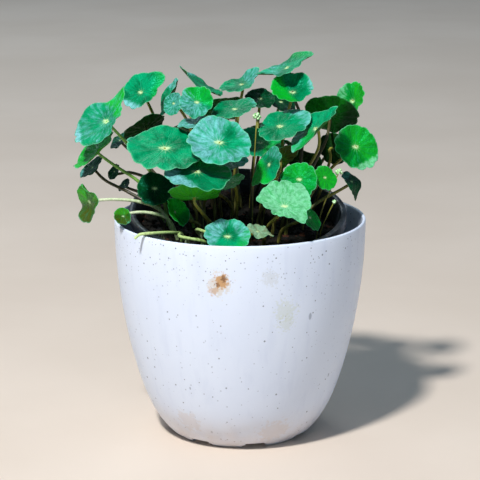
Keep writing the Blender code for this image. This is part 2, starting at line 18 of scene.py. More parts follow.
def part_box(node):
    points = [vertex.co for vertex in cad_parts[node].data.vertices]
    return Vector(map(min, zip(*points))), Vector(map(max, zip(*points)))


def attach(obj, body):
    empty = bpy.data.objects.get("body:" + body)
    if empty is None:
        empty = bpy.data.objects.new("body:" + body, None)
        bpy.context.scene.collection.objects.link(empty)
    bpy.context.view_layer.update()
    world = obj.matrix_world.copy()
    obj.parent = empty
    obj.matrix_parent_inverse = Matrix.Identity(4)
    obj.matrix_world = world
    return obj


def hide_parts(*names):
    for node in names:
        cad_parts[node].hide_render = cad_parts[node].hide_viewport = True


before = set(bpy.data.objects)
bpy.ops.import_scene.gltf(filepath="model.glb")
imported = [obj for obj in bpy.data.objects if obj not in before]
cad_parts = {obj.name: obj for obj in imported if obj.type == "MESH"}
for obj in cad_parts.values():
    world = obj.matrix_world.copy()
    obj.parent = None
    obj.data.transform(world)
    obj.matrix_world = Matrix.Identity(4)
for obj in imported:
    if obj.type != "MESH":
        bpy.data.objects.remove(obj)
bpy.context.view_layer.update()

log = logging.getLogger("pennywort")

MM = 0.001
GOLDEN_ANGLE = math.radians(137.5)
SHARP_FROM = math.radians(35)
Colour = tuple[float, float, float]
Profile = list[tuple[float, float]]
Sources = dict[Any, Any] | None

POT_HEIGHT = 131 * MM
POT_MOUTH = 74.8 * MM
POT_TAPER = 26 * MM
POT_TUCK = 8 * MM


def pot_radius(height: float) -> float:
    """The outer pot's outer radius at a height."""
    depth = 1 - height / POT_HEIGHT
    return POT_MOUTH - POT_TAPER * depth**2 - POT_TUCK * depth**12


class Value:
    """What a node puts out. A sum or product of it adds a Math node to its graph."""

    def __init__(self, graph: "Graph", socket: bpy.types.NodeSocket) -> None:
        """Keeps the graph and the output."""
        self.graph = graph
        self.socket = socket

    def __add__(self, other: Any) -> "Value":
        """It plus a value or number."""
        return self.graph.maths("ADD", self, other)

    def __sub__(self, other: Any) -> "Value":
        """It less a value or number."""
        return self.graph.maths("SUBTRACT", self, other)

    def __rsub__(self, other: float) -> "Value":
        """A number less it."""
        return self.graph.maths("SUBTRACT", other, self)

    def __mul__(self, other: Any) -> "Value":
        """It times a value or number."""
        return self.graph.maths("MULTIPLY", self, other)

    def __truediv__(self, other: Any) -> "Value":
        """It divided by a value or number."""
        return self.graph.maths("DIVIDE", self, other)

    def __rtruediv__(self, other: float) -> "Value":
        """A number divided by it."""
        return self.graph.maths("DIVIDE", other, self)


class Graph:
    """Adds and links the nodes of one node tree."""

    def __init__(self, tree: bpy.types.NodeTree) -> None:
        """Keeps the material's, group's or geometry tree to fill."""
        self.tree = tree

    def link(self, source: Any, socket: bpy.types.NodeSocket) -> None:
        """Feeds an input.

        Args:
            source: A value to link, or a plain one to set.
            socket: The input.
        """
        if isinstance(source, Value):
            self.tree.links.new(source.socket, socket)
        else:
            socket.default_value = source

    def add(self, kind: str, sources: Sources = None, **settings: Any) -> bpy.types.Node:
        """Adds a node.

        Args:
            kind: The node's Blender type.
            sources: What feeds each input, by the input's name or number.
            **settings: Properties of the node itself.

        Returns:
            The new node.
        """
        node = self.tree.nodes.new(kind)
        for name, value in settings.items():
            setattr(node, name, value)
        for key, source in (sources or {}).items():
            self.link(source, node.inputs[key])
        return node

    def out(self, kind: str, sources: Sources = None, which: int = 0, **settings: Any) -> Value:
        """Adds a node, as add does, and gives one of its outputs by number."""
        return Value(self, self.add(kind, sources, **settings).outputs[which])

    def many(self, kind: str, sources: Sources = None, **settings: Any) -> dict[str, Value]:
        """Adds a node, as add does, and gives its outputs by name."""
        outputs = self.add(kind, sources, **settings).outputs
        return {socket.name: Value(self, socket) for socket in outputs}

    def maths(self, operation: str, *values: Any) -> Value:
        """The result of a Math node for values or numbers, in the order of its inputs."""
        return self.out("ShaderNodeMath", dict(enumerate(values)), operation=operation)

    def vector(self, operation: str, *values: Any) -> Value:
        """The vector that a Vector Math node makes of vectors, in the order of its inputs."""
        return self.out("ShaderNodeVectorMath", dict(enumerate(values)), operation=operation)

    def length(self, vector: Value) -> Value:
        """A vector's length."""
        return self.out("ShaderNodeVectorMath", {0: vector}, 1, operation="LENGTH")

    def scaled(self, vector: Value, scale: tuple[float, float, float]) -> Value:
        """A vector with each part scaled."""
        return self.out("ShaderNodeMapping", {"Vector": vector, "Scale": scale})

    def ramp(self, value: Any, low: Any, high: Any, to_low: Any = 0.0, to_high: Any = 1.0) -> Value:
        """Maps a value smoothly, so that low becomes to_low and high becomes to_high."""
        sources = dict(enumerate((value, low, high, to_low, to_high)))
        return self.out("ShaderNodeMapRange", sources, interpolation_type="SMOOTHSTEP")

    def mix(self, share: Any, first: Any, second: Any) -> Value:
        """Mixes a share of a second colour into a first."""
        sources = {0: share, 6: with_alpha(first), 7: with_alpha(second)}
        return self.out("ShaderNodeMix", sources, 2, data_type="RGBA")

    def noise(self, place: Value, scale: Any, detail: float = 3.0) -> Value:
        """A noise texture's value, about 0.5 on average."""
        return self.out("ShaderNodeTexNoise", {"Vector": place, "Scale": scale, "Detail": detail})

    def uneven(self, place: Value, scale: Any, detail: float = 3.0) -> Value:
        """A noise texture's value, about 0 on average."""
        return self.noise(place, scale, detail) - 0.5


def with_alpha(colour: Any) -> Any:
    """A plain colour with an alpha of one, or a value as it is."""
    return colour if isinstance(colour, Value) else (*colour, 1.0)


class Group(Graph):
    """A new node group with named inputs."""

    def __init__(self, name: str, kind: str, inputs: dict[str, Any]) -> None:
        """Starts the group.

        Args:
            name: Its name.
            kind: Its Blender type of tree.
            inputs: For each input its default number, or its kind of socket.
        """
        super().__init__(bpy.data.node_groups.new(name, kind))
        for label, default in inputs.items():
            sort = default if isinstance(default, str) else "Float"
            socket = self.tree.interface.new_socket(label, in_out="INPUT", socket_type=f"NodeSocket{sort}")
            if sort is not default:
                socket.default_value = default
        self.given = self.many("NodeGroupInput")

    def random_number(self, low: float, high: float) -> Value:
        """A number for each point, drawn with the group's seed."""
        sources = {2: low, 3: high, "Seed": self.given["Seed"]}
        return self.out("FunctionNodeRandomValue", sources, 1, data_type="FLOAT")

    def close(self, **results: Value) -> bpy.types.NodeTree:
        """Gives the group its outputs.

        Args:
            **results: What each output puts out.

        Returns:
            The group's tree.
        """
        for label in results:
            sort = "Geometry" if label == "Geometry" else "Float"
            self.tree.interface.new_socket(label, in_out="OUTPUT", socket_type=f"NodeSocket{sort}")
        self.add("NodeGroupOutput", results)
        return self.tree

    def close_mesh(self, mesh: Value) -> bpy.types.NodeTree:
        """Ends a geometry tree with real geometry of one material.

        Args:
            mesh: What the tree has made.

        Returns:
            The tree.
        """
        solid = self.out("GeometryNodeRealizeInstances", {"Geometry": mesh})
        sources = {"Geometry": solid, "Material": self.given["Material"]}
        return self.close(Geometry=self.out("GeometryNodeSetMaterial", sources))


@cache
def blotch_tree() -> bpy.types.NodeTree:
    """The effect of soft uneven patches of one size.

    Returns:
        Its group.
    """
    group = Group("blotches", "ShaderNodeTree", {"Place": "Vector", "Size": 0.01, "Low": 0.4, "High": 0.6})
    given = group.given
    value = group.noise(given["Place"], 1.0 / given["Size"], 4.0)
    return group.close(Mask=group.ramp(value, given["Low"], given["High"]))


@cache
def speck_tree() -> bpy.types.NodeTree:
    """The effect of small round specks, one at most in each cell.

    Returns:
        Its group.
    """
    group = Group("specks", "ShaderNodeTree", {"Place": "Vector", "Cell": 0.004, "Share": 0.5, "Size": 0.1})
    given = group.given
    cells = group.many("ShaderNodeTexVoronoi", {"Vector": given["Place"], "Scale": 1.0 / given["Cell"]})
    draw = group.many("ShaderNodeSeparateColor", {0: cells["Color"]})
    smallest = 0.4
    full_within = 0.6
    size = given["Size"] * (draw["Green"] + smallest)
    near = group.ramp(cells["Distance"], size, size * full_within)
    return group.close(Mask=near * group.maths("LESS_THAN", draw["Red"], given["Share"]))


@cache
def spot_tree() -> bpy.types.NodeTree:
    """The effect of one ragged patch round a place.

    Returns:
        Its group.
    """
    inputs = {"Place": "Vector", "Centre": "Vector", "Size": 0.005, "Grain": 0.002, "Ragged": 1.0}
    group = Group("spot", "ShaderNodeTree", inputs)
    given = group.given
    away = group.length(group.vector("SUBTRACT", given["Place"], given["Centre"]))
    rough = group.uneven(given["Place"], 1.0 / given["Grain"], 5.0)
    full_within = 0.55
    value = away / given["Size"] + rough * given["Ragged"]
    return group.close(Mask=group.ramp(value, 1.0, full_within))


@cache
def vein_tree() -> bpy.types.NodeTree:
    """The effect of a round leaf's radial veins with forks, its pale middle, its edge and its streaks.

    Returns:
        Its group.
    """
    group = Group("veins", "ShaderNodeTree", {"Flat": "Vector", "Count": 11.0, "Width": 0.02})
    flat = group.given["Flat"]
    count = group.given["Count"]
    width = group.given["Width"]
    fork_from, fork_full, fork_spread, fork_width, fork_strength = 0.5, 0.6, 0.75, 0.8, 0.8
    fade_from, faded = 0.8, 0.25
    edge_from, edge_full = 0.955, 0.99
    star_height, star_reach, star_core, star_grain = 0.62, 0.125, 0.03, 0.13
    ray_strength, ray_reach, ray_core = 0.34, 0.32, 0.05
    streak_stretch, streak_scale = 1.5, 3.2
    most_swerve = 0.35
    swerve = group.uneven(flat, 2.5, 2.0) * most_swerve
    parts = group.many("ShaderNodeSeparateXYZ", {0: flat})
    share = group.length(flat)
    turn = group.maths("ARCTAN2", parts["Y"], parts["X"]) + swerve
    lobe = turn * (count / math.tau)
    aside = group.maths("ABSOLUTE", group.maths("FRACT", lobe + 0.5) - 0.5)
    wide = math.tau / count * share
    main = group.ramp(aside * wide, width, 0.0)
    apart = group.maths("ABSOLUTE", aside - (share - fork_from) * fork_spread)
    forks = group.ramp(apart * wide, width * fork_width, 0.0) * group.ramp(share, fork_from, fork_full)
    vein = group.maths("MAXIMUM", main, forks * fork_strength)
    vein = vein * group.ramp(share, 1.0, fade_from, faded, 1.0)
    grain = group.uneven(flat, 9.0, 4.0) * star_grain
    ragged = group.length(group.scaled(flat, (1.0, star_height, 1.0))) + grain
    rays = main * group.ramp(share, ray_reach, ray_core)
    star = group.maths("MAXIMUM", group.ramp(ragged, star_reach, star_core), rays * ray_strength)
    unit = group.vector("NORMALIZE", flat)
    drawn_out = group.out("ShaderNodeVectorMath", {0: unit, "Scale": streak_stretch}, operation="SCALE")
    streak = group.uneven(group.vector("ADD", drawn_out, flat), streak_scale, 4.0)
    edge = group.ramp(share, edge_from, edge_full)
    return group.close(Vein=vein, Star=star, Edge=edge, Streak=streak)


class Skin(Graph):
    """A new material with one Principled shader, which reads places on the object."""

    def __init__(self, name: str, **constants: Any) -> None:
        """Starts the material.

        Args:
            name: Its name.
            **constants: Values for the shader's own sockets, with underscores for spaces.
        """
        self.material = bpy.data.materials.new(name)
        self.material.use_nodes = True
        super().__init__(self.material.node_tree)
        self.shader = self.tree.nodes["Principled BSDF"].inputs
        for label, value in constants.items():
            self.shader[label.replace("_", " ")].default_value = value
        self.place = self.many("ShaderNodeTexCoord")["Object"]

    def drawn_up(self, scale: float) -> Value:
        """The place on the object with its height scaled."""
        return self.scaled(self.place, (1.0, 1.0, scale))

    def painted(self, label: str) -> Value:
        """A number that the mesh carries at each point."""
        return self.many("ShaderNodeAttribute", attribute_name=label)["Fac"]

    def effect(self, make: Callable[[], bpy.types.NodeTree], **inputs: Any) -> dict[str, Value]:
        """Adds a shared effect with its inputs, and gives its outputs by name."""
        return self.many("ShaderNodeGroup", inputs, node_tree=make())

    def blotches(self, size: float, low: float, high: float, place: Value | None = None) -> Value:
        """Where soft patches lie."""
        return self.effect(blotch_tree, Place=place or self.place, Size=size, Low=low, High=high)["Mask"]

    def specks(self, cell: float, share: float, size: float, place: Value | None = None) -> Value:
        """Where small specks lie: a share of the cells has one, sized as a part of its cell."""
        inputs = {"Place": place or self.place, "Cell": cell, "Share": share, "Size": size}
        return self.effect(speck_tree, **inputs)["Mask"]

    def tint(self, colour: Any, mask: Value, strength: Any, other: Any) -> Value:
        """A colour with another over it where a mask lies, at some strength."""
        return self.mix(mask * strength, colour, other)

    def finish(self, colour: Value, rough: Value, height: Value, depth: float) -> bpy.types.Material:
        """Feeds the shader.

        Args:
            colour: The base colour.
            rough: The roughness.
            height: The relief.
            depth: How deep a relief of one is, in metres.

        Returns:
            The finished material.
        """
        bump = self.out("ShaderNodeBump", {"Strength": 1.0, "Distance": depth, "Height": height})
        for label, value in {"Base Color": colour, "Roughness": rough, "Normal": bump}.items():
            self.link(value, self.shader[label])
        return self.material


@cache
def material_of(finish: Any) -> bpy.types.Material:
    """A finish's material, made once."""
    return finish.make()


RUST = (0.54, 0.27, 0.07)
DARK_RUST = (0.16, 0.06, 0.015)
RUST_HALO = (0.62, 0.50, 0.30)
GRIME = (0.52, 0.54, 0.52)
ALGAE = (0.58, 0.64, 0.52)
MUD = (0.60, 0.48, 0.40)


@dataclass(frozen=True)
class Mark:
    """A mark on the front of the outer pot. Its place right of the axis, its height, its size and its
    grain are in millimetres."""

    across: float
    height: float
    size: float
    grain: float
    ragged: float
    colour: Colour
    strength: float

    def centre(self, axis: tuple[float, float]) -> tuple[float, float, float]:
        """Its middle on the wall of a pot that turns about an axis.

        Args:
            axis: The axis's place.

        Returns:
            The place.
        """
        across = self.across * MM
        height = self.height * MM
        return (axis[0] + across, axis[1] - math.sqrt(pot_radius(height) ** 2 - across**2), height)


WALL_MARKS = (
    Mark(-11.8, 108.5, 8.0, 2.2, 2.2, RUST_HALO, 0.45),
    Mark(-14.8, 104.5, 3.2, 1.4, 2.2, RUST, 0.50),
    Mark(-10.6, 110.5, 5.0, 1.6, 2.2, RUST, 0.85),
    Mark(-9.4, 112.0, 2.2, 0.9, 2.6, DARK_RUST, 0.8),
    Mark(-12.8, 108.5, 1.5, 0.8, 2.6, DARK_RUST, 0.7),
    Mark(17.0, 112, 5.5, 1.3, 3.0, GRIME, 0.30),
    Mark(26.0, 92, 7.5, 1.6, 3.2, ALGAE, 0.35),
    Mark(26.5, 84, 6.0, 1.4, 3.2, ALGAE, 0.30),
    Mark(-30.0, 18, 9.0, 2.5, 1.8, MUD, 0.30),
    Mark(20.0, 12, 11.0, 2.5, 1.8, MUD, 0.30),
)


@dataclass(frozen=True)
class SpeckLayer:
    """Specks of one kind in the white plastic: how wide the cell of each is, in millimetres, which share of
    the cells has one, its size as a part of its cell, its colour, its strength, how much its height is
    drawn out (under one) and whether it lies only near the rim."""

    cell: float
    share: float
    size: float
    colour: Colour
    strength: float
    stretch: float = 1.0
    near_rim: bool = False


SPECK = (0.16, 0.19, 0.27)
FLECK = (0.30, 0.35, 0.46)
SPECK_LAYERS = (
    SpeckLayer(2.6, 0.40, 0.18, FLECK, 0.50),
    SpeckLayer(2.2, 0.55, 0.20, SPECK, 1.0, near_rim=True),
    SpeckLayer(4.2, 0.45, 0.125, SPECK, 0.80),
    SpeckLayer(9.5, 0.45, 0.068, SPECK, 0.90),
    SpeckLayer(12.0, 0.40, 0.075, FLECK, 0.75, stretch=0.45),
)


@dataclass(frozen=True)
class WhitePlastic:
    """The outer pot's cool white plastic, with fine dark specks, flecks, a rusty stain and scuffs."""

    axis: tuple[float, float]
    colour: Colour = (0.76, 0.84, 0.985)
    shade: Colour = (0.70, 0.78, 0.95)
    band: Colour = (0.60, 0.68, 0.86)
    dust: Colour = (0.62, 0.50, 0.42)
    dust_height: float = 30 * MM
    rim_specks_from: float = 92 * MM
    smooth: float = 0.28
    scuffed: float = 0.44

    def make(self) -> bpy.types.Material:
        """Builds the material.

        Returns:
            The material.
        """
        skin = Skin("white_plastic", Specular_IOR_Level=0.5)
        place = skin.place
        colour = skin.tint(self.colour, skin.blotches(size=0.05, low=0.3, high=0.75), 0.5, self.shade)
        bands = skin.blotches(size=0.007, low=0.48, high=0.72, place=skin.drawn_up(0.14))
        colour = skin.tint(colour, bands, 0.30, self.band)
        up = skin.many("ShaderNodeSeparateXYZ", {0: place})["Z"]
        near_rim = skin.ramp(up, self.rim_specks_from, POT_HEIGHT)
        for layer in SPECK_LAYERS:
            where = skin.drawn_up(layer.stretch)
            mask = skin.specks(layer.cell * MM, layer.share, layer.size, where)
            if layer.near_rim:
                mask = mask * near_rim
            colour = skin.tint(colour, mask, layer.strength, layer.colour)
        for mark in WALL_MARKS:
            inputs = {"Size": mark.size * MM, "Grain": mark.grain * MM, "Ragged": mark.ragged}
            mask = skin.effect(spot_tree, Place=place, Centre=mark.centre(self.axis), **inputs)["Mask"]
            colour = skin.tint(colour, mask, mark.strength, mark.colour)
        dusty = skin.ramp(up, self.dust_height, 0.0) * skin.noise(place, 90.0)
        colour = skin.tint(colour, dusty, 0.8, self.dust)
        rough = skin.ramp(skin.noise(place, 160.0, 6.0), 0.3, 0.7, self.smooth, self.scuffed)
        height = skin.noise(place, 900.0, 2.0) * 0.25 + skin.noise(place, 45.0, 2.0)
        return skin.finish(colour, rough, height, 0.12 * MM)


@dataclass(frozen=True)
class BlackPlastic:
    """The nursery pot's thin black plastic, scuffed and dusty; its bluish scuffs are also a painted
    reflection of the sky.
    """

    colour: Colour = (0.012, 0.016, 0.022)
    # Bluish scuffs: real scuffs, made bluer as a painted reflection of the sky.
    scuff: Colour = (0.08, 0.11, 0.14)
    dust: Colour = (0.09, 0.075, 0.06)
    dirt: Colour = (0.12, 0.09, 0.06)

    def make(self) -> bpy.types.Material:
        """Builds the material.

        Returns:
            The material.
        """
        skin = Skin("black_plastic", Specular_IOR_Level=0.6)
        flat = skin.drawn_up(4.0)
        scratches = skin.blotches(size=0.004, low=0.56, high=0.74, place=flat)
        dust = skin.blotches(size=0.012, low=0.45, high=0.8)
        colour = skin.tint(self.colour, scratches, 0.5, self.scuff)
        colour = skin.tint(colour, dust, 0.35, self.dust)
        colour = skin.tint(colour, skin.specks(cell=0.003, share=0.5, size=0.2), 0.6, self.dirt)
        rough = skin.ramp(dust, 0.0, 1.0, 0.30, 0.62) + scratches * 0.1
        return skin.finish(colour, rough, skin.noise(flat, 350.0, 4.0), 0.15 * MM)


@dataclass(frozen=True)
class DampSoil:
    """Dark damp potting soil, nearly black as its own colour and as painted shade, with reddish bark, a
    little moss and pale grit.
    """

    # Nearly black: the soil's own dark colour, made darker still as painted shade.
    colour: Colour = (0.0035, 0.0035, 0.0025)
    brown: Colour = (0.009, 0.006, 0.004)
    bark: Colour = (0.07, 0.022, 0.010)
    moss: Colour = (0.006, 0.018, 0.003)
    grit: Colour = (0.20, 0.16, 0.12)

    def make(self) -> bpy.types.Material:
        """Builds the material.

        Returns:
            The material.
        """
        skin = Skin("damp_soil", Specular_IOR_Level=0.2)
        colour = skin.mix(skin.blotches(size=0.006, low=0.4, high=0.7), self.colour, self.brown)
        colour = skin.tint(colour, skin.specks(cell=0.005, share=0.22, size=0.42), 0.8, self.bark)
        colour = skin.tint(colour, skin.blotches(size=0.016, low=0.55, high=0.8), 0.35, self.moss)
        colour = skin.tint(colour, skin.specks(cell=0.008, share=0.12, size=0.16), 0.6, self.grit)
        rough = skin.ramp(skin.noise(skin.place, 120.0, 3.0), 0.35, 0.65, 0.55, 0.98)
        return skin.finish(colour, rough, skin.noise(skin.place, 700.0, 6.0), 0.8 * MM)


@dataclass(frozen=True)
class BladeFinish:
    """One kind of leaf surface: its greens, its painted light colour, its waxy bloom with painted sheen,
    its painted edge highlight and its shine.
    """

    name: str
    colour: Colour
    deep: Colour
    # The colour of painted light.
    lit: Colour
    under: Colour
    # The next two colours: a pale waxy film, partly real bloom and partly a painted sheen that stands for
    # the sky's reflection.
    bloom: Colour = (0.06, 0.46, 0.38)
    frost: Colour = (0.25, 0.57, 0.64)
    vein: Colour = (0.008, 0.42, 0.20)
    star: Colour = (0.62, 0.86, 0.42)
    sheen: Colour = (0.08, 1.0, 0.75)
    # The colour of a painted highlight along the blade's edge.
    rim: Colour = (0.16, 0.60, 0.32)
    decay: Colour = (0.30, 0.20, 0.09)
    roughness: float = 0.33
    matter_by: float = 0.12
    shine: float = 0.28
    spots: float = 0.0
    vein_width: float = 0.022
    vein_strength: float = 0.22
    rim_strength: float = 0.55
    under_strength: float = 0.9
    streak: float = 1.6
    mottle: float = 0.6

    def make(self) -> bpy.types.Material:
        """Builds the material, which reads the blade's flat map and what is painted on it.

        Returns:
            The material.
        """
        skin = Skin(self.name, Specular_IOR_Level=self.shine, Specular_Tint=with_alpha(self.sheen))
        place = skin.place
        flat = skin.out("ShaderNodeUVMap", uv_map="blade")
        labels = ("bloom", "glow", "under", "tone", "lobes")
        bloom, glow, under, tone, lobes = (skin.painted(label) for label in labels)
        veins = skin.effect(vein_tree, Flat=flat, Count=lobes, Width=self.vein_width)
        patches = skin.blotches(size=0.012, low=0.32, high=0.68)
        fine = skin.blotches(size=0.0022, low=0.4, high=0.66)
        streak = veins["Streak"] * self.streak
        dark = patches * self.mottle + streak * self.mottle
        colour = skin.mix(skin.ramp(dark, 0.0, 0.8), self.colour, self.deep)
        colour = skin.tint(colour, tone, 0.5, self.deep)
        colour = skin.tint(colour, under, self.under_strength, self.under)
        # Painted light: a lit colour over the parts of a leaf meant to look sunlit and lit through from
        # behind.
        colour = skin.mix(glow, colour, self.lit)
        colour = skin.tint(colour, veins["Vein"], self.vein_strength, self.vein)
        # The waxy film: partly real bloom, partly painted sheen in place of the sky's reflection.
        film_with_sheen = bloom + skin.uneven(place, 230.0, 4.0) * self.mottle + streak
        film_with_sheen = skin.ramp(film_with_sheen, 0.12, 0.85) * skin.ramp(bloom, 0.0, 0.3)
        film_with_sheen = film_with_sheen * skin.ramp(fine, 0.0, 1.0, 0.92, 0.55)
        colour = skin.mix(film_with_sheen, colour, skin.mix(bloom, self.bloom, self.frost))
        # Painted highlight along the edge.
        colour = skin.tint(colour, veins["Edge"], self.rim_strength, self.rim)
        colour = skin.tint(colour, veins["Star"], 1.0 - under * 0.7, self.star)
        if self.spots:
            decayed = skin.blotches(size=0.004, low=0.45, high=0.7)
            colour = skin.tint(colour, decayed, self.spots, self.decay)
        rough = skin.ramp(fine, 0.0, 1.0, self.roughness, self.roughness + self.matter_by)
        rough = rough + bloom * self.matter_by + under * 0.2
        cells = skin.many("ShaderNodeTexVoronoi", {"Vector": place, "Scale": 900.0})["Distance"]
        height = cells * 0.6 + veins["Vein"] * 0.5
        height = height + skin.noise(place, 300.0, 3.0) * 2.0 + skin.noise(place, 85.0, 1.0) * 7.0
        return skin.finish(colour, rough, height, 0.35 * MM)


@dataclass(frozen=True)
class StemFinish:
    """A stalk's or runner's skin, from its colour at the foot to that at the tip. The dark foot colours are
    painted shade low down in the bush.
    """

    name: str
    foot: Colour
    tip: Colour
    freckle: Colour = (0.10, 0.05, 0.02)
    roughness: float = 0.38
    matter_by: float = 0.12
    stripe_gain: float = 1.7
    stripe_lift: float = 0.02

    def make(self) -> bpy.types.Material:
        """Builds the material, which reads how far along the stem a point lies.

        Returns:
            The material.
        """
        skin = Skin(self.name, Specular_IOR_Level=0.5)
        streaks = skin.drawn_up(0.12)
        stripe = skin.blotches(size=0.0012, low=0.35, high=0.65, place=streaks)
        colour = skin.mix(skin.ramp(skin.painted("along"), 0.25, 0.95), self.foot, self.tip)
        paler = tuple(min(1.0, channel * self.stripe_gain + self.stripe_lift) for channel in self.tip)
        colour = skin.tint(colour, stripe, 0.35, paler)
        colour = skin.tint(colour, skin.specks(cell=0.0016, share=0.4, size=0.25), 0.35, self.freckle)
        rough = skin.ramp(stripe, 0.0, 1.0, self.roughness, self.roughness + self.matter_by)
        return skin.finish(colour, rough, skin.noise(streaks, 1600.0, 3.0), 0.15 * MM)


@dataclass(frozen=True)
class BudFinish:
    """The pale green skin of a flower bud, whiter in patches."""

    colour: Colour = (0.20, 0.62, 0.14)
    pale: Colour = (0.72, 0.98, 0.62)
    freckle: Colour = (0.10, 0.26, 0.04)

    def make(self) -> bpy.types.Material:
        """Builds the material.

        Returns:
            The material.
        """
        skin = Skin("flower_bud", Specular_IOR_Level=0.4)
        patches = skin.blotches(size=0.0010, low=0.36, high=0.56)
        colour = skin.mix(patches, self.colour, self.pale)
        colour = skin.tint(colour, skin.specks(cell=0.0006, share=0.3, size=0.2), 0.4, self.freckle)
        rough = skin.ramp(patches, 0.0, 1.0, 0.35, 0.5)
        return skin.finish(colour, rough, skin.noise(skin.place, 2500.0, 2.0), 0.1 * MM)


class Tone(Enum):
    """The kinds of leaf in the bush. The darkest is the leaf green darkened as painted shade, for leaves
    that lie in shadow.
    """

    EMERALD = BladeFinish(
        "leaf_emerald", colour=(0.0003, 0.330, 0.128), deep=(0.0001, 0.118, 0.036),
        lit=(0.003, 0.42, 0.012), under=(0.03, 0.12, 0.008),
    )
    FRESH = BladeFinish(
        "leaf_fresh", colour=(0.001, 0.300, 0.022), deep=(0.0003, 0.130, 0.008), lit=(0.012, 0.44, 0.012),
        under=(0.08, 0.24, 0.008), bloom=(0.08, 0.52, 0.18), frost=(0.23, 0.62, 0.36),
        roughness=0.38, shine=0.24,
    )
    # Painted shade: the leaf green darkened for leaves inside the bush and in shadow.
    DEEP = BladeFinish(
        "leaf_deep", colour=(0.0005, 0.064, 0.013), deep=(0.0003, 0.018, 0.005), lit=(0.006, 0.26, 0.010),
        under=(0.010, 0.045, 0.005), bloom=(0.08, 0.32, 0.28), frost=(0.10, 0.36, 0.34),
        vein=(0.01, 0.10, 0.03), rim=(0.04, 0.24, 0.08), shine=0.18,
    )
    OLIVE = BladeFinish(
        "leaf_olive", colour=(0.02, 0.13, 0.004), deep=(0.06, 0.07, 0.005), lit=(0.04, 0.34, 0.010),
        under=(0.065, 0.085, 0.006),
    )
    DRY = BladeFinish(
        "leaf_dry", colour=(0.20, 0.40, 0.23), deep=(0.13, 0.26, 0.12), lit=(0.30, 0.48, 0.26),
        under=(0.26, 0.30, 0.16), bloom=(0.34, 0.58, 0.40), frost=(0.40, 0.64, 0.46),
        vein=(0.36, 0.38, 0.20), sheen=(1, 1, 1), roughness=0.6, spots=0.45,
    )


class StemTone(Enum):
    """The kinds of stalk in the bush. The nearly black kind, and the olive kind's dark foot, are painted
    shade inside the bush.
    """

    GREEN = StemFinish("stalk_green", foot=(0.15, 0.28, 0.05), tip=(0.16, 0.40, 0.06))
    # Its nearly black foot is painted shade inside the bush.
    OLIVE = StemFinish("stalk_olive", foot=(0.018, 0.014, 0.004), tip=(0.24, 0.24, 0.03))
    # Painted shade: nearly black stalks for the inside of the bush.
    BROWN = StemFinish("stalk_brown", foot=(0.008, 0.006, 0.003), tip=(0.05, 0.045, 0.008))
    PALE = StemFinish("stalk_pale", foot=(0.30, 0.46, 0.16), tip=(0.58, 0.70, 0.44))
    RUNNER = StemFinish("runner_skin", foot=(0.18, 0.32, 0.06), tip=(0.46, 0.60, 0.24))


@dataclass(frozen=True)
class Patch:
    """Paint on one side of a blade, used for the waxy bloom with painted sheen and for painted light. Its
    direction is as seen from the front: 0 right, 90 up. It starts that many radii from the joint and is
    full after the soft part."""

    towards: float
    start: float
    strength: float
    soft: float = 0.35


ALL_OVER = -1.5


@dataclass(frozen=True)
class Leaf:
    """One leaf: where its stalk joins the blade, in millimetres from the pot's axis and foot, its radius,
    how it leans (azimuth, degrees from level), its tone, its waxy bloom with painted sheen, its painted
    light, its soft bends (direction, start in radii, angle upwards), its long tips (direction, length in
    radii, half width in degrees), where the joint lies off the middle, how oval, cupped, wavy and jagged
    it is, and where a deep fold is seen."""

    place: tuple[float, float, float]
    radius: float
    leans: tuple[float, float]
    tone: Tone = Tone.EMERALD
    bloom: Sequence[Patch] = ()
    glow: Sequence[Patch] = ()
    bends: Sequence[tuple[float, float, float]] = ()
    tips: Sequence[tuple[float, float, float]] = ()
    joint: tuple[float, float] = (180, 0.06)
    oval: tuple[float, float] = (30, 0.03)
    cup: float = 0.10
    wave: float = 0.05
    jagged: float = 1.0
    cleft: float | None = None
    stem: StemTone = StemTone.OLIVE


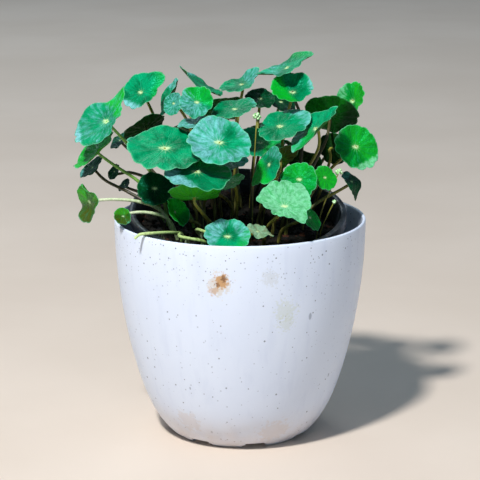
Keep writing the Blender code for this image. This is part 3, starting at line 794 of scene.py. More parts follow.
FRONT_LEAVES = (
    Leaf((-43, -34, 179), 22, (-86, 22), bloom=[Patch(185, 0.75, 0.5)], cup=0.05),
    Leaf((-12, -42, 184), 18, (-85, 36),
         bloom=[Patch(170, -0.35, 0.64, 0.6), Patch(20, 0.5, 0.5), Patch(270, 0.1, 0.5)], cup=0.15,
         wave=0.09, cleft=35),
    Leaf((-7, -28, 170), 12, (-113, 18), bloom=[Patch(300, 0.3, 0.5)]),
    Leaf((-24.5, -46.5, 168), 17.2, (-72, 25), bloom=[Patch(250, 0.3, 0.75)], glow=[Patch(60, 0.1, 0.45)],
         joint=(180, 0.22), oval=(90, 0.1)),
    Leaf((-26, -42, 152), 15, (90, 30), Tone.FRESH, glow=[Patch(90, ALL_OVER, 0.6)], cup=0.25),
    Leaf((-26, -15, 190), 10, (-144, 12), bloom=[Patch(90, ALL_OVER, 0.55)]),
    Leaf((-4, -21, 156), 8, (-156, 28), Tone.FRESH, bloom=[Patch(200, 0.2, 0.3)],
         glow=[Patch(90, ALL_OVER, 0.8)]),
    Leaf((23, -14, 188), 14.5, (-122, 28), bloom=[Patch(20, 0.45, 0.55)], tips=((130, 0.25, 20),),
         joint=(270, 0.18)),
    Leaf((44, -22, 188), 15, (-149, 39), bloom=[Patch(190, 0.3, 0.55)], glow=[Patch(280, 0.0, 0.5)],
         bends=((90, 0.1, 25),), tips=((165, 0.25, 20), (10, 0.25, 20))),
    Leaf((17, -32, 169), 11.5, (-158, 62), bloom=[Patch(60, 0.2, 0.4)], glow=[Patch(250, 0.1, 0.8)],
         bends=((90, 0.3, -20),), tips=((330, 0.45, 20),)),
    Leaf((23, -14.5, 169), 11, (110, 48), Tone.OLIVE, glow=[Patch(200, -0.5, 0.45)],
         tips=((225, 0.35, 20),)),
    Leaf((34, -40, 162), 10.5, (-99, 55), Tone.FRESH, glow=[Patch(90, 0.0, 0.3)], jagged=1.4),
    Leaf((49, -30, 161), 7.2, (-59, 63), Tone.FRESH, bloom=[Patch(120, 0.6, 0.3)],
         glow=[Patch(0, ALL_OVER, 0.6)]),
    Leaf((25, -60, 150.5), 13.5, (-78, 35), Tone.FRESH, bloom=[Patch(90, ALL_OVER, 0.76)],
         glow=[Patch(320, 0.6, 0.5)], tips=((250, 0.15, 15), (140, 0.15, 18), (35, 0.4, 16)),
         joint=(340, 0.35), jagged=1.5),
    Leaf((68, -4, 174), 13.5, (-68, 61), Tone.FRESH,
         bloom=[Patch(285, 0.62, 0.8, 0.2), Patch(150, 0.7, 0.5)], glow=[Patch(30, -0.2, 0.4)], cup=0.15),
    Leaf((55, 12, 170), 10, (56, 80), Tone.DEEP),
    Leaf((66, -2, 152.5), 7.7, (-30, 42), Tone.DEEP, bloom=[Patch(150, 0.2, 0.5)], bends=((0, 0.2, -45),),
         tips=((0, 0.4, 18),)),
)
TOP_LEAVES = (
    Leaf((-41, 28, 198), 12, (-160, 65), bloom=[Patch(60, 0.2, 0.6)], bends=((90, 0.0, 25),)),
    Leaf((-20.5, 10, 206.5), 14.5, (3, 28), bloom=[Patch(180, 0.55, 0.6)], bends=((180, 0.4, 15),),
         tips=((180, 0.1, 15),), joint=(0, 0.3)),
    Leaf((-25, -13, 202), 10, (-101, 52), bloom=[Patch(240, -0.5, 0.52, 0.8)], glow=[Patch(65, -0.1, 0.7)],
         cup=0.25, wave=0.14, jagged=1.3),
    Leaf((-39, 6, 198), 7, (-126, 61), bloom=[Patch(90, ALL_OVER, 0.45)]),
    Leaf((-3, -5, 196.5), 13.5, (-134, 16), bloom=[Patch(20, 0.6, 0.4)]),
    Leaf((1, 41, 203.5), 13, (-150, 16), bloom=[Patch(20, 0.1, 0.5)], bends=((170, 0.2, 35),),
         tips=((165, 0.2, 20),)),
    Leaf((28, 14, 218), 15.5, (-168, 27), bloom=[Patch(200, 0.0, 0.35)], glow=[Patch(90, 0.5, 0.3)],
         bends=((0, 0.4, 25),), tips=((180, 0.2, 18), (0, 0.2, 12))),
    Leaf((31, 1, 205.5), 12.5, (-98, 32), bloom=[Patch(340, 0.6, 0.7)], glow=[Patch(240, 0.0, 0.9)],
         cup=0.42, stem=StemTone.BROWN),
    Leaf((12, 40, 195), 9, (-90, 31), Tone.DEEP),
    Leaf((25, 51, 191), 9, (-56, 29), Tone.DEEP),
    Leaf((54, 14, 190), 16.5, (77, 49), Tone.DEEP, glow=[Patch(150, -0.6, 0.55)], stem=StemTone.BROWN),
    Leaf((68, 31, 195), 12.5, (-131, 60), Tone.FRESH, bloom=[Patch(180, 0.2, 0.6)],
         glow=[Patch(0, 0.0, 0.7)], bends=((90, 0.0, 25),), jagged=1.3),
)
LEFT_LEAVES = (
    Leaf((-77.5, -12, 190.5), 17, (-137, 42), bloom=[Patch(222, 0.72, 0.95, 0.2), Patch(90, ALL_OVER, 0.3)],
         glow=[Patch(40, 0.25, 0.95)], bends=((120, 0.05, 12),), tips=((185, 0.5, 20), (225, -0.2, 20)),
         joint=(115, 0.3), stem=StemTone.GREEN),
    Leaf((-84, -4, 171), 15, (-169, 41), Tone.FRESH, bloom=[Patch(210, 0.5, 0.3)],
         glow=[Patch(90, ALL_OVER, 0.45)], cup=0.2, stem=StemTone.GREEN),
    Leaf((-88, 8, 159), 8.5, (-158, 41), Tone.DEEP, bloom=[Patch(250, 0.5, 0.6)], stem=StemTone.BROWN),
    Leaf((-59, 18, 202.5), 11.7, (-129, 54), bloom=[Patch(270, 0.5, 0.85)], glow=[Patch(350, 0.5, 0.5)],
         bends=((100, 0.4, -30),), tips=((145, 0.5, 22),), joint=(60, 0.15)),
    Leaf((-56, 12, 182), 13, (129, 44), Tone.DEEP, stem=StemTone.BROWN),
    Leaf((-72, 20, 173), 6.5, (-150, 40), Tone.DEEP, bloom=[Patch(90, ALL_OVER, 0.25)],
         stem=StemTone.BROWN),
    Leaf((-75, 10, 156), 5, (-145, 58), Tone.DEEP, stem=StemTone.BROWN),
    Leaf((-69, 10, 148), 4.5, (-150, 45), Tone.DEEP, stem=StemTone.BROWN),
    Leaf((-88, -18, 144), 12, (-150, 95), Tone.OLIVE, glow=[Patch(100, -0.1, 0.9)],
         bends=((0, 0.3, 40), (180, 0.4, 30)), wave=0.12, stem=StemTone.PALE),
    Leaf((-68, -30, 138), 5.5, (-70, 50), Tone.OLIVE, glow=[Patch(90, 0.0, 0.6)], bends=((90, 0.1, 50),),
         stem=StemTone.PALE),
)
LOW_LEAVES = (
    Leaf((-50, -14, 151), 10.5, (-90, 50), Tone.DEEP, stem=StemTone.GREEN),
    Leaf((-38, -28, 140), 8.7, (-16, 59), Tone.FRESH, glow=[Patch(180, -0.5, 1.0)], bends=((90, 0.0, 50),)),
    Leaf((40, -42, 140), 8, (-27, 57), Tone.FRESH),
    Leaf((-7, -57.5, 132.5), 13, (-90, 32), bloom=[Patch(160, 0.1, 0.6), Patch(20, 0.25, 0.5)],
         glow=[Patch(300, 0.4, 0.5)], cup=0.2, cleft=90),
    Leaf((10, -50, 133.5), 6.5, (-52, 21), Tone.DRY, bloom=[Patch(90, ALL_OVER, 0.3)],
         tips=((145, 0.6, 15), (55, 0.4, 14), (235, 0.3, 15)), wave=0.2, jagged=1.5),
)
MIDDLE_LEAVES = (
    Leaf((12, 8, 174), 14, (-80, 25), glow=[Patch(0, -0.2, 0.5)], stem=StemTone.BROWN),
    Leaf((36, 8, 163), 13, (70, 40), Tone.DEEP, stem=StemTone.BROWN),
)


def blade_matrix(place: Vector, normal: Vector) -> Matrix:
    """The frame of a blade, where X runs down the slope.

    Args:
        place: Where the stalk joins it.
        normal: The direction that it faces.

    Returns:
        The matrix from the blade's frame.
    """
    level = Vector((normal.x, normal.y, 0)).normalized()
    downhill = level * normal.z - Vector((0, 0, 1)) * math.hypot(normal.x, normal.y)
    turn = Matrix((downhill, normal.cross(downhill), normal)).transposed().to_4x4()
    return Matrix.Translation(place) @ turn


def bent(points: np.ndarray, radius: float, bend: tuple[float, float, float], soft: float) -> np.ndarray:
    """Points of a blade after one soft bend across it.

    Args:
        points: The points in the blade's frame.
        radius: The blade's radius.
        bend: Its direction, its start in radii and its angle, in degrees.
        soft: How many radii the turn takes.

    Returns:
        The bent points.
    """
    direction, start, angle = bend
    across = np.array((math.cos(math.radians(direction)), math.sin(math.radians(direction))))
    past = points[..., :2] @ across - start * radius
    side = points[..., 1] * across[0] - points[..., 0] * across[1]
    full = math.radians(angle)
    length = soft * radius
    turned_by = full * np.clip(past / length, 0, 1)
    straight = np.maximum(past - length, 0)
    run = np.sin(turned_by) * length / full + straight * math.cos(full)
    rise = (1 - np.cos(turned_by)) * length / full + straight * math.sin(full)
    out = start * radius + run - points[..., 2] * np.sin(turned_by)
    height = rise + points[..., 2] * np.cos(turned_by)
    result = np.stack([across[0] * out - across[1] * side, across[1] * out + across[0] * side, height], -1)
    return np.where((past > 0)[..., None], result, points)


def node_points(name: str) -> np.ndarray:
    """The points of a CAD node, each once.

    Args:
        name: The node.

    Returns:
        Its points.
    """
    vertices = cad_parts[name].data.vertices
    places = np.empty(len(vertices) * 3)
    vertices.foreach_get("co", places)
    return np.unique(np.round(places.reshape(-1, 3), 6), axis=0)


def six_sided_rings(points: np.ndarray) -> list[tuple[float, np.ndarray]]:
    """The rings of six points that a stem's tube is made of.

    Args:
        points: The points of a node that holds one stem.

    Returns:
        Each ring's radius and middle, the widest first.
    """
    near = 1.35 * MM
    uneven = 0.03 * MM
    left = set(range(len(points)))
    rings = []
    while left:
        group = [left.pop()]
        for index in group:
            close = [other for other in left if np.linalg.norm(points[other] - points[index]) < near]
            left.difference_update(close)
            group += close
        middle = points[group].mean(axis=0)
        away = np.linalg.norm(points[group] - middle, axis=1)
        if len(group) == 6 and np.ptp(away) < uneven:
            rings.append((float(away.mean()), middle))
    return sorted(rings, key=lambda ring: -ring[0])


def add_object(name: str, data: Any) -> bpy.types.Object:
    """Puts a mesh, camera or light in the scene.

    Args:
        name: The new object's name.
        data: Its data.

    Returns:
        The object.
    """
    made = bpy.data.objects.new(name, data)
    bpy.context.scene.collection.objects.link(made)
    return made


def add_points(name: str, points: Sequence[Any], chained: bool) -> bpy.types.Object:
    """Puts a mesh of bare points in the scene.

    Args:
        name: The new object's name.
        points: The points.
        chained: Whether an edge runs from each to the next.

    Returns:
        The object.
    """
    mesh = bpy.data.meshes.new(name)
    edges = [(i, i + 1) for i in range(len(points) - 1)] if chained else []
    mesh.from_pydata([tuple(point) for point in points], edges, [])
    return add_object(name, mesh)


def add_shape(name: str, shape: bmesh.types.BMesh) -> bpy.types.Object:
    """Puts a shape in the scene.

    Args:
        name: The new object's name.
        shape: The shape, which is used up.

    Returns:
        The object.
    """
    mesh = bpy.data.meshes.new(name)
    shape.to_mesh(mesh)
    shape.free()
    return add_object(name, mesh)


def make_plain(made: bpy.types.Object) -> None:
    """Replaces an object's mesh by the one that its modifiers make, and removes them.

    Args:
        made: The object.
    """
    bpy.context.view_layer.update()
    graph = bpy.context.evaluated_depsgraph_get()
    result = bpy.data.meshes.new_from_object(made.evaluated_get(graph))
    made.modifiers.clear()
    made.data = result


def grow(made: bpy.types.Object, tree: bpy.types.NodeTree, **inputs: Any) -> None:
    """Runs a geometry tree on an object and keeps the plain mesh that comes of it.

    Args:
        made: The object.
        tree: The tree.
        **inputs: The tree's inputs, with underscores for spaces.
    """
    modifier = made.modifiers.new("grow", "NODES")
    modifier.node_group = tree
    for item in tree.interface.items_tree:
        label = item.name.replace(" ", "_")
        if item.item_type == "SOCKET" and item.in_out == "INPUT" and label in inputs:
            modifier[item.identifier] = inputs[label]
    make_plain(made)


def face_out(made: bpy.types.Object) -> None:
    """Merges doubled points and turns every face outwards.

    Args:
        made: The object.
    """
    shape = bmesh.new()
    shape.from_mesh(made.data)
    bmesh.ops.remove_doubles(shape, verts=shape.verts, dist=0.002 * MM)
    bmesh.ops.recalc_face_normals(shape, faces=shape.faces)
    shape.to_mesh(made.data)
    shape.free()


def join(first: bpy.types.Object, others: Sequence[bpy.types.Object]) -> None:
    """Joins objects into the first, which stays."""
    with bpy.context.temp_override(active_object=first, selected_editable_objects=[first, *others]):
        bpy.ops.object.join()


def stand_in(piece: bpy.types.Object, slot: str, *nodes: str) -> None:
    """Puts a finished piece in the frame in place of CAD nodes.

    Args:
        piece: The piece.
        slot: Not used.
        *nodes: The nodes that it stands for.
    """
    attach(piece, "root")
    if nodes:
        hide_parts(*nodes)
    piece.data.calc_loop_triangles()
    log.info("%s: %d triangles", piece.name, len(piece.data.loop_triangles))


@cache
def stem_tree() -> bpy.types.NodeTree:
    """The geometry tree that sweeps a round, slightly uneven section along a chain of points.

    Returns:
        The tree.
    """
    inputs = {"Geometry": "Geometry", "Sides": "Int", "Material": "Material"}
    inputs.update(dict.fromkeys(("Foot radius", "Tip radius", "Step", "Uneven"), "Float"))
    group = Group("swept_stem", "GeometryNodeTree", inputs)
    given = group.given
    curve_steps = 16
    bump_scale = 160.0
    curve = group.out("GeometryNodeMeshToCurve", {0: given["Geometry"]})
    curve = group.out("GeometryNodeCurveSplineType", {"Curve": curve}, spline_type="CATMULL_ROM")
    curve = group.out("GeometryNodeSetSplineResolution", {"Geometry": curve, "Resolution": curve_steps})
    curve = group.out("GeometryNodeResampleCurve", {"Curve": curve, "Length": given["Step"]}, mode="LENGTH")
    along = group.many("GeometryNodeSplineParameter")["Factor"]
    sources = {"Geometry": curve, "Name": "along", "Value": along}
    curve = group.out("GeometryNodeStoreNamedAttribute", sources, data_type="FLOAT", domain="POINT")
    radius = group.out("ShaderNodeMapRange", {0: along, 3: given["Foot radius"], 4: given["Tip radius"]})
    bumps = group.out("ShaderNodeTexNoise", {"Scale": bump_scale, "Detail": 1.0})
    radius = radius * ((bumps - 0.5) * (given["Uneven"] * 2.0) + 1.0)
    ring = group.out("GeometryNodeCurvePrimitiveCircle", {"Resolution": given["Sides"], "Radius": 1.0})
    sources = {"Curve": curve, "Profile Curve": ring, "Scale": radius, "Fill Caps": True}
    mesh = group.out("GeometryNodeCurveToMesh", sources)
    return group.close_mesh(group.out("GeometryNodeSetShadeSmooth", {"Geometry": mesh}))


@dataclass
class StemSweep:
    """Makes stems of one evenness and fineness."""

    sides: int = 10
    step: float = 1.6 * MM
    uneven: float = 0.08

    def along(self, name: str, path: Sequence[Vector], foot: float, tip: float,
              tone: StemTone) -> bpy.types.Object:
        """Makes one stem.

        Args:
            name: The new object's name.
            path: The points that it runs through, from its foot.
            foot: Its radius at the foot.
            tip: Its radius at the tip.
            tone: The kind of stem.

        Returns:
            The stem as a plain mesh.
        """
        stem = add_points(name, path, chained=True)
        grow(stem, stem_tree(), Foot_radius=foot, Tip_radius=tip, Step=self.step, Uneven=self.uneven,
             Sides=self.sides, Material=material_of(tone.value))
        face_out(stem)
        return stem


@dataclass
class Foliage:
    """All the leaves. Each keeps the place and form of its CAD node, with a finer blade and stalk."""

    axis: Vector
    thickness: float = 0.45 * MM
    crenation: float = 0.048
    cut_depth: float = 0.75
    cut_uneven: float = 0.45
    lobe_roundness: float = 0.7
    lobe_level: float = 1.05
    tooth: float = 0.2
    softness: float = 0.25
    pucker: float = 0.019
    crumple: float = 0.019
    unround: float = 0.02
    dimple: float = 0.012
    dimple_width: float = 0.09
    fold_depth: float = 0.2
    fold_width: float = 0.24
    vein_rib: float = 0.12 * MM
    points_each_lobe: int = 8
    rings_each_mm: float = 0.8
    fewest_rings: int = 8
    first_ring: float = 0.02
    inner_part: float = 0.9
    edge_rings: tuple[float, ...] = (0.94, 0.965, 0.985, 1.0)
    seen_depth: float = 0.25
    stalk_foot: float = 1.15 * MM
    stalk_tip: float = 0.85 * MM
    pre_joint: float = 3 * MM
    into_blade: float = 0.05 * MM
    ring_slack: float = 0.05 * MM
    blade_hang: float = 12 * MM
    first_size: float = 14 * MM
    back_seed: int = 7
    fit_rounds: int = 25
    fit_sides: int = 120

    def lobes(self, leaf: Leaf) -> int:
        """How many scallops a blade's edge has."""
        return 13 if leaf.radius > 12 else 11 if leaf.radius > 7 else 9

    def edge_lobes(self, leaf: Leaf, turn: np.ndarray) -> np.ndarray:
        """The scalloped edge, from -1 in a notch to 1 on a lobe, uneven and with smaller teeth on it.

        Args:
            leaf: The leaf.
            turn: Angles round the blade.

        Returns:
            The edge at each angle.
        """
        draw = random.Random(repr(leaf.place))
        shift = draw.uniform(0.15, 0.35) * np.sin(2 * turn + draw.uniform(0, math.tau))
        depth = self.cut_depth + self.cut_uneven * np.sin(3 * turn + draw.uniform(0, math.tau))
        half = np.abs(np.cos(self.lobes(leaf) * turn / 2 + shift))
        teeth = self.tooth * np.abs(np.cos(1.5 * self.lobes(leaf) * turn + draw.uniform(0, math.tau)))
        return depth * (2 * half**self.lobe_roundness - self.lobe_level) + teeth

    def surface(self, leaf: Leaf, phase: float, turn: np.ndarray, share: np.ndarray) -> np.ndarray:
        """The blade's middle surface in its own frame.

        Args:
            leaf: The leaf.
            phase: The turn of its waves.
            turn: Angles round the blade.
            share: Shares of the way to the edge.

        Returns:
            The points, in metres.
        """
        radius = leaf.radius * MM
        edge = 1 - leaf.joint[1] * np.cos(turn - math.radians(leaf.joint[0]))
        edge = edge + leaf.oval[1] * np.cos(2 * (turn - math.radians(leaf.oval[0])))
        edge = edge + self.unround * np.cos(3 * turn - phase)
        for direction, length, spread in leaf.tips:
            apart = (turn - math.radians(direction) + math.pi) % math.tau - math.pi
            edge = edge + length * share * np.exp(-((apart / math.radians(spread)) ** 2))
        cut = self.crenation * leaf.jagged
        edge = edge * share * (1 + cut * share**4 * self.edge_lobes(leaf, turn))
        height = leaf.cup * share**2 + leaf.wave * share**2.5 * np.cos(4 * turn + 2 * phase)
        height = height - self.pucker * share**1.5 * np.cos(self.lobes(leaf) * turn)
        draw = random.Random(repr(leaf.place))
        for waves in (2, 3, 5, 7):
            swell = np.sin(waves * turn + draw.uniform(2, 6) * share + draw.uniform(0, math.tau))
            height = height + draw.uniform(0.4, 1) * self.crumple * share**2 * swell
        height = height - self.dimple * np.exp(-((share / self.dimple_width) ** 2))
        height = height + self.fold(leaf, turn, share)
        points = np.stack([edge * np.cos(turn), edge * np.sin(turn), height], -1) * radius
        for bend in leaf.bends:
            points = bent(points, radius, bend, self.softness)
        return points

    def fold(self, leaf: Leaf, turn: np.ndarray, share: np.ndarray) -> np.ndarray:
        """The relief of a leaf's deep radial fold, if it has one.

        Args:
            leaf: The leaf.
            turn: Angles round the blade.
            share: Shares of the way to the edge.

        Returns:
            The height at each point, in radii.
        """
        if leaf.cleft is None:
            return np.zeros_like(turn)
        away = self.seen_angle(leaf, leaf.cleft)
        apart = np.abs((turn - away + math.pi) % math.tau - math.pi)
        return -self.fold_depth * share * np.exp(-((apart / self.fold_width) ** 2))

    def seen_angle(self, leaf: Leaf, towards: float) -> float:
        """The angle in a blade that points a way as seen from the front.

        Args:
            leaf: The leaf.
            towards: The direction seen, 0 right and 90 up, in degrees.

        Returns:
            The angle, in radians.
        """
        angle = math.radians(towards)
        seen = Vector((math.cos(angle), self.seen_depth, math.sin(angle)))
        local = self.matrix_of(leaf).to_3x3().inverted() @ seen
        return math.atan2(local.y, local.x)

    def matrix_of(self, leaf: Leaf) -> Matrix:
        """The matrix from a blade's frame to the part's.

        Args:
            leaf: The leaf.

        Returns:
            The matrix.
        """
        azimuth, tilt = (math.radians(angle) for angle in leaf.leans)
        level = math.sin(tilt)
        normal = Vector((level * math.cos(azimuth), level * math.sin(azimuth), math.cos(tilt)))
        return blade_matrix(Vector(leaf.place) * MM + self.axis, normal)

    def patch_mask(self, leaf: Leaf, patches: Sequence[Patch], flat: np.ndarray) -> np.ndarray:
        """How strongly the patches cover each point of a blade.

        Args:
            leaf: The leaf.
            patches: The patches.
            flat: The points on the flat unit disc.

        Returns:
            The cover at each point, from 0 to 1.
        """
        cover = np.zeros(flat.shape[:-1])
        for patch in patches:
            angle = self.seen_angle(leaf, patch.towards)
            along = flat @ np.array((math.cos(angle), math.sin(angle)))
            step = np.clip((along - patch.start) / patch.soft, 0, 1)
            cover = np.maximum(cover, patch.strength * step * step * (3 - 2 * step))
        return cover

    def blade(self, name: str, leaf: Leaf, phase: float) -> bpy.types.Object:
        """Makes one blade as a closed skin with its flat map and its paint.

        Args:
            name: The new object's name.
            leaf: The leaf.
            phase: The turn of its waves.

        Returns:
            The blade.
        """
        sides = self.points_each_lobe * self.lobes(leaf)
        rings = max(self.fewest_rings, round(leaf.radius * self.rings_each_mm))
        inner = np.linspace(0, self.inner_part, rings)[1:]
        shares = np.concatenate([[self.first_ring], inner, self.edge_rings])
        turn, share = np.meshgrid(np.arange(sides) * math.tau / sides, shares)
        middle = self.surface(leaf, phase, turn, share)
        around = np.roll(middle, -1, axis=1) - np.roll(middle, 1, axis=1)
        normal = np.cross(np.gradient(middle, axis=0), around)
        normal /= np.linalg.norm(normal, axis=-1, keepdims=True) + 1e-12
        half = self.thickness / 2 * np.sqrt(1 - np.minimum(share, 1) ** 10)[..., None]
        rib = np.maximum(np.cos(self.lobes(leaf) * turn), 0) ** 6 * self.vein_rib * (1 - share**2)
        top = middle + normal * half
        bottom = middle - normal * (half + rib[..., None])
        centre = self.surface(leaf, phase, np.zeros(1), np.zeros(1))[0]
        above = (0, 0, self.thickness / 2)
        poles = [centre + above, centre - above]
        points = np.concatenate([top.reshape(-1, 3), bottom[:-1].reshape(-1, 3), poles])
        mesh = bpy.data.meshes.new(name)
        mesh.from_pydata(points.tolist(), [], self.blade_faces(len(shares), sides))
        flat = np.stack([share * np.cos(turn), share * np.sin(turn)], -1)
        flat = np.concatenate([flat.reshape(-1, 2), flat[:-1].reshape(-1, 2), np.zeros((2, 2))])
        lower = np.zeros(len(points))
        lower[len(shares) * sides:-2] = 1
        lower[-1] = 1
        self.paint_mesh(mesh, leaf, flat, lower)
        mesh.transform(self.matrix_of(leaf))
        mesh.shade_smooth()
        mesh.materials.append(material_of(leaf.tone.value))
        return add_object(name, mesh)

    def blade_faces(self, rings: int, sides: int) -> list[tuple[int, ...]]:
        """The faces of a closed blade, whose two skins share the outermost ring and end in poles.

        Args:
            rings: How many rings its top has.
            sides: How many points each ring has.

        Returns:
            The faces.
        """
        faces = []
        under = rings * sides
        for ring in range(rings - 1):
            out = sides if ring == rings - 2 else under + sides
            for k in range(sides):
                a, b = ring * sides + k, ring * sides + (k + 1) % sides
                faces.append((a, a + sides, b + sides, b))
                faces.append((under + a, under + b, b + out, a + out))
        top_pole = under + (rings - 1) * sides
        for k in range(sides):
            faces.append((top_pole, k, (k + 1) % sides))
            faces.append((top_pole + 1, under + (k + 1) % sides, under + k))
        return faces

    def paint_mesh(self, mesh: bpy.types.Mesh, leaf: Leaf, flat: np.ndarray, lower: np.ndarray) -> None:
        """Gives a blade's mesh its flat map and its paint.

        Args:
            mesh: The mesh.
            leaf: The leaf.
            flat: Each point's place on the flat unit disc.
            lower: One for each point of the underside.
        """
        corners = np.empty(len(mesh.loops), np.int32)
        mesh.loops.foreach_get("vertex_index", corners)
        layer = mesh.uv_layers.new(name="blade")
        layer.data.foreach_set("uv", flat[corners].astype(np.float32).ravel())
        values = {
            "bloom": self.patch_mask(leaf, leaf.bloom, flat) * (1 - lower),
            "glow": self.patch_mask(leaf, leaf.glow, flat),
            "under": lower,
            "tone": np.full(len(flat), random.Random(repr(leaf.place)).random()),
            "lobes": np.full(len(flat), float(self.lobes(leaf))),
        }
        for label, value in values.items():
            made = mesh.attributes.new(label, "FLOAT", "POINT")
            made.data.foreach_set("value", value.astype(np.float32))

    def stalk_path(self, node: str, place: Vector, normal: Vector) -> list[Vector]:
        """The way that a CAD node's stalk runs, up into the blade.

        Args:
            node: The node.
            place: Where the stalk joins the blade.
            normal: The direction that the blade faces.

        Returns:
            The points, from the root.
        """
        path = [Vector(middle) for _, middle in six_sided_rings(node_points(node))[:-1]]
        return [*path, place - normal * self.pre_joint, place + normal * self.into_blade]

    def back_leaf(self, node: str, index: int) -> Leaf:
        """Reads a back leaf's place, size and lean from its CAD node, by fitting a plain blade to it.

        Args:
            node: The node.
            index: Its number.

        Returns:
            The leaf.
        """
        points = node_points(node)
        rings = six_sided_rings(points)
        in_rings = np.zeros(len(points), bool)
        for radius, middle in rings:
            in_rings |= np.linalg.norm(points - middle, axis=1) < radius + self.ring_slack
        last = rings[-1][1]
        blade = points[~in_rings & (points[:, 2] > last[2] - self.blade_hang)]
        _, _, axes = np.linalg.svd(blade - blade.mean(axis=0))
        normal = Vector(axes[2] if axes[2][2] > 0 else -axes[2]).normalized()
        place = Vector(last) + normal * self.pre_joint
        plain = Leaf((0, 0, 0), 10, (0, 0))
        turn, share = np.meshgrid(np.linspace(0, math.tau, self.fit_sides, endpoint=False), (0.5, 1.0))
        pattern = self.surface(plain, index * GOLDEN_ANGLE, turn, share).reshape(-1, 3)
        pattern = pattern / (plain.radius * MM)
        size = self.first_size
        for _ in range(self.fit_rounds):
            turned_to = np.array(blade_matrix(Vector((0, 0, 0)), normal).to_3x3())
            laid = pattern @ turned_to.T * size + np.array(place)
            nearest = np.linalg.norm(blade[:, None] - laid[None], axis=2).argmin(axis=1)
            matched = pattern[nearest]
            from_middle = matched - matched.mean(axis=0)
            to_middle = blade - blade.mean(axis=0)
            left, spread, right = np.linalg.svd(to_middle.T @ from_middle)
            unmirrored = (1, 1, np.sign(np.linalg.det(left @ right)))
            turn_by = left @ np.diag(unmirrored) @ right
            size = float((spread * unmirrored).sum() / (from_middle**2).sum())
            place = Vector(blade.mean(axis=0) - turn_by @ matched.mean(axis=0) * size)
            normal = Vector(turn_by[:, 2]).normalized()
        place -= self.axis
        size /= MM
        leans = (math.degrees(math.atan2(normal.y, normal.x)), math.degrees(math.acos(normal.z)))
        draw = random.Random(self.back_seed + index)
        tone = draw.choice((Tone.EMERALD, Tone.EMERALD, Tone.FRESH, Tone.DEEP))
        bloom = Patch(draw.uniform(0, 360), draw.uniform(0.1, 0.6), draw.uniform(0.2, 0.7))
        stem = draw.choice((StemTone.OLIVE, StemTone.BROWN, StemTone.GREEN))
        return Leaf(tuple(place / MM), size, leans, tone, (bloom,), stem=stem)

    def build(self) -> None:
        """Makes every leaf and puts it in place of its CAD node."""
        sweep = StemSweep()
        leaves = [*FRONT_LEAVES, *TOP_LEAVES, *LEFT_LEAVES, *LOW_LEAVES, *MIDDLE_LEAVES]
        nodes = sorted(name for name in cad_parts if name.startswith("leaf_"))
        for index, node in enumerate(nodes):
            leaf = leaves[index] if index < len(leaves) else self.back_leaf(node, index)
            matrix = self.matrix_of(leaf)
            piece = self.blade(f"{node}_fine", leaf, index * GOLDEN_ANGLE)
            path = self.stalk_path(node, matrix.translation, matrix.to_3x3() @ Vector((0, 0, 1)))
            join(piece, [sweep.along(f"{node}_stalk", path, self.stalk_foot, self.stalk_tip, leaf.stem)])
            stand_in(piece, "dry_leaf" if leaf.tone is Tone.DRY else "leaf_green", node)


@dataclass
class Runners:
    """The creeping stems, with short roots."""

    foot: float = 1.05 * MM
    tip: float = 0.85 * MM
    roots_each: int = 3
    root_foot: float = 0.22 * MM
    root_tip: float = 0.1 * MM
    root_length: float = 7 * MM
    root_reach: float = 2.5
    seed: int = 5

    def path_of(self, node: str) -> list[Vector]:
        """The way that a CAD runner runs, from its lowest end.

        Args:
            node: The node.

        Returns:
            The points.
        """
        left = [Vector(middle) for _, middle in six_sided_rings(node_points(node))]
        left.sort(key=lambda point: point.z)
        path = [left.pop(0)]
        while left:
            left.sort(key=lambda point: (point - path[-1]).length)
            path.append(left.pop(0))
        return path

    def roots(self, name: str, place: Vector, sweep: StemSweep,
              draw: random.Random) -> list[bpy.types.Object]:
        """Short fine roots that hang from a joint.

        Args:
            name: What their names start with.
            place: The joint.
            sweep: What makes them.
            draw: The random numbers to use.

        Returns:
            The roots.
        """
        made = []
        for k in range(self.roots_each):
            aside = Vector((draw.uniform(-1, 1), draw.uniform(-0.2, 1), 0)) * self.root_reach * MM
            down = Vector((0, 0, -self.root_length * draw.uniform(0.5, 1)))
            path = [place, place + aside * 0.6 + down * 0.3, place + aside + down]
            made.append(sweep.along(f"{name}_root_{k}", path, self.root_foot, self.root_tip, StemTone.PALE))
        return made

    def build(self) -> None:
        """Makes every runner and puts it in place of its CAD node."""
        sweep = StemSweep(sides=12, step=1.2 * MM, uneven=0.12)
        thin = StemSweep(sides=5, step=1.5 * MM, uneven=0.3)
        draw = random.Random(self.seed)
        for node in sorted(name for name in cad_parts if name.startswith("runner_")):
            path = self.path_of(node)
            piece = sweep.along(f"{node}_fine", path, self.foot, self.tip, StemTone.RUNNER)
            join(piece, self.roots(node, path[len(path) // 2], thin, draw))
            stand_in(piece, "runner_green", node)


@dataclass(frozen=True)
class FlowerHead:
    """One flower head, in millimetres from the pot's axis and foot: its middle, the foot of its
    stalk, how many buds it has and how far they stand out."""

    place: tuple[float, float, float]
    root: tuple[float, float]
    buds: int
    reach: float


FLOWER_HEADS = (
    FlowerHead((9.8, -14.5, 193.8), (7, -17), 12, 1.9),
    FlowerHead((57.6, -22, 162.5), (44, -18), 10, 1.6),
    FlowerHead((54.5, -30, 146.5), (45, -26), 4, 0.7),
)


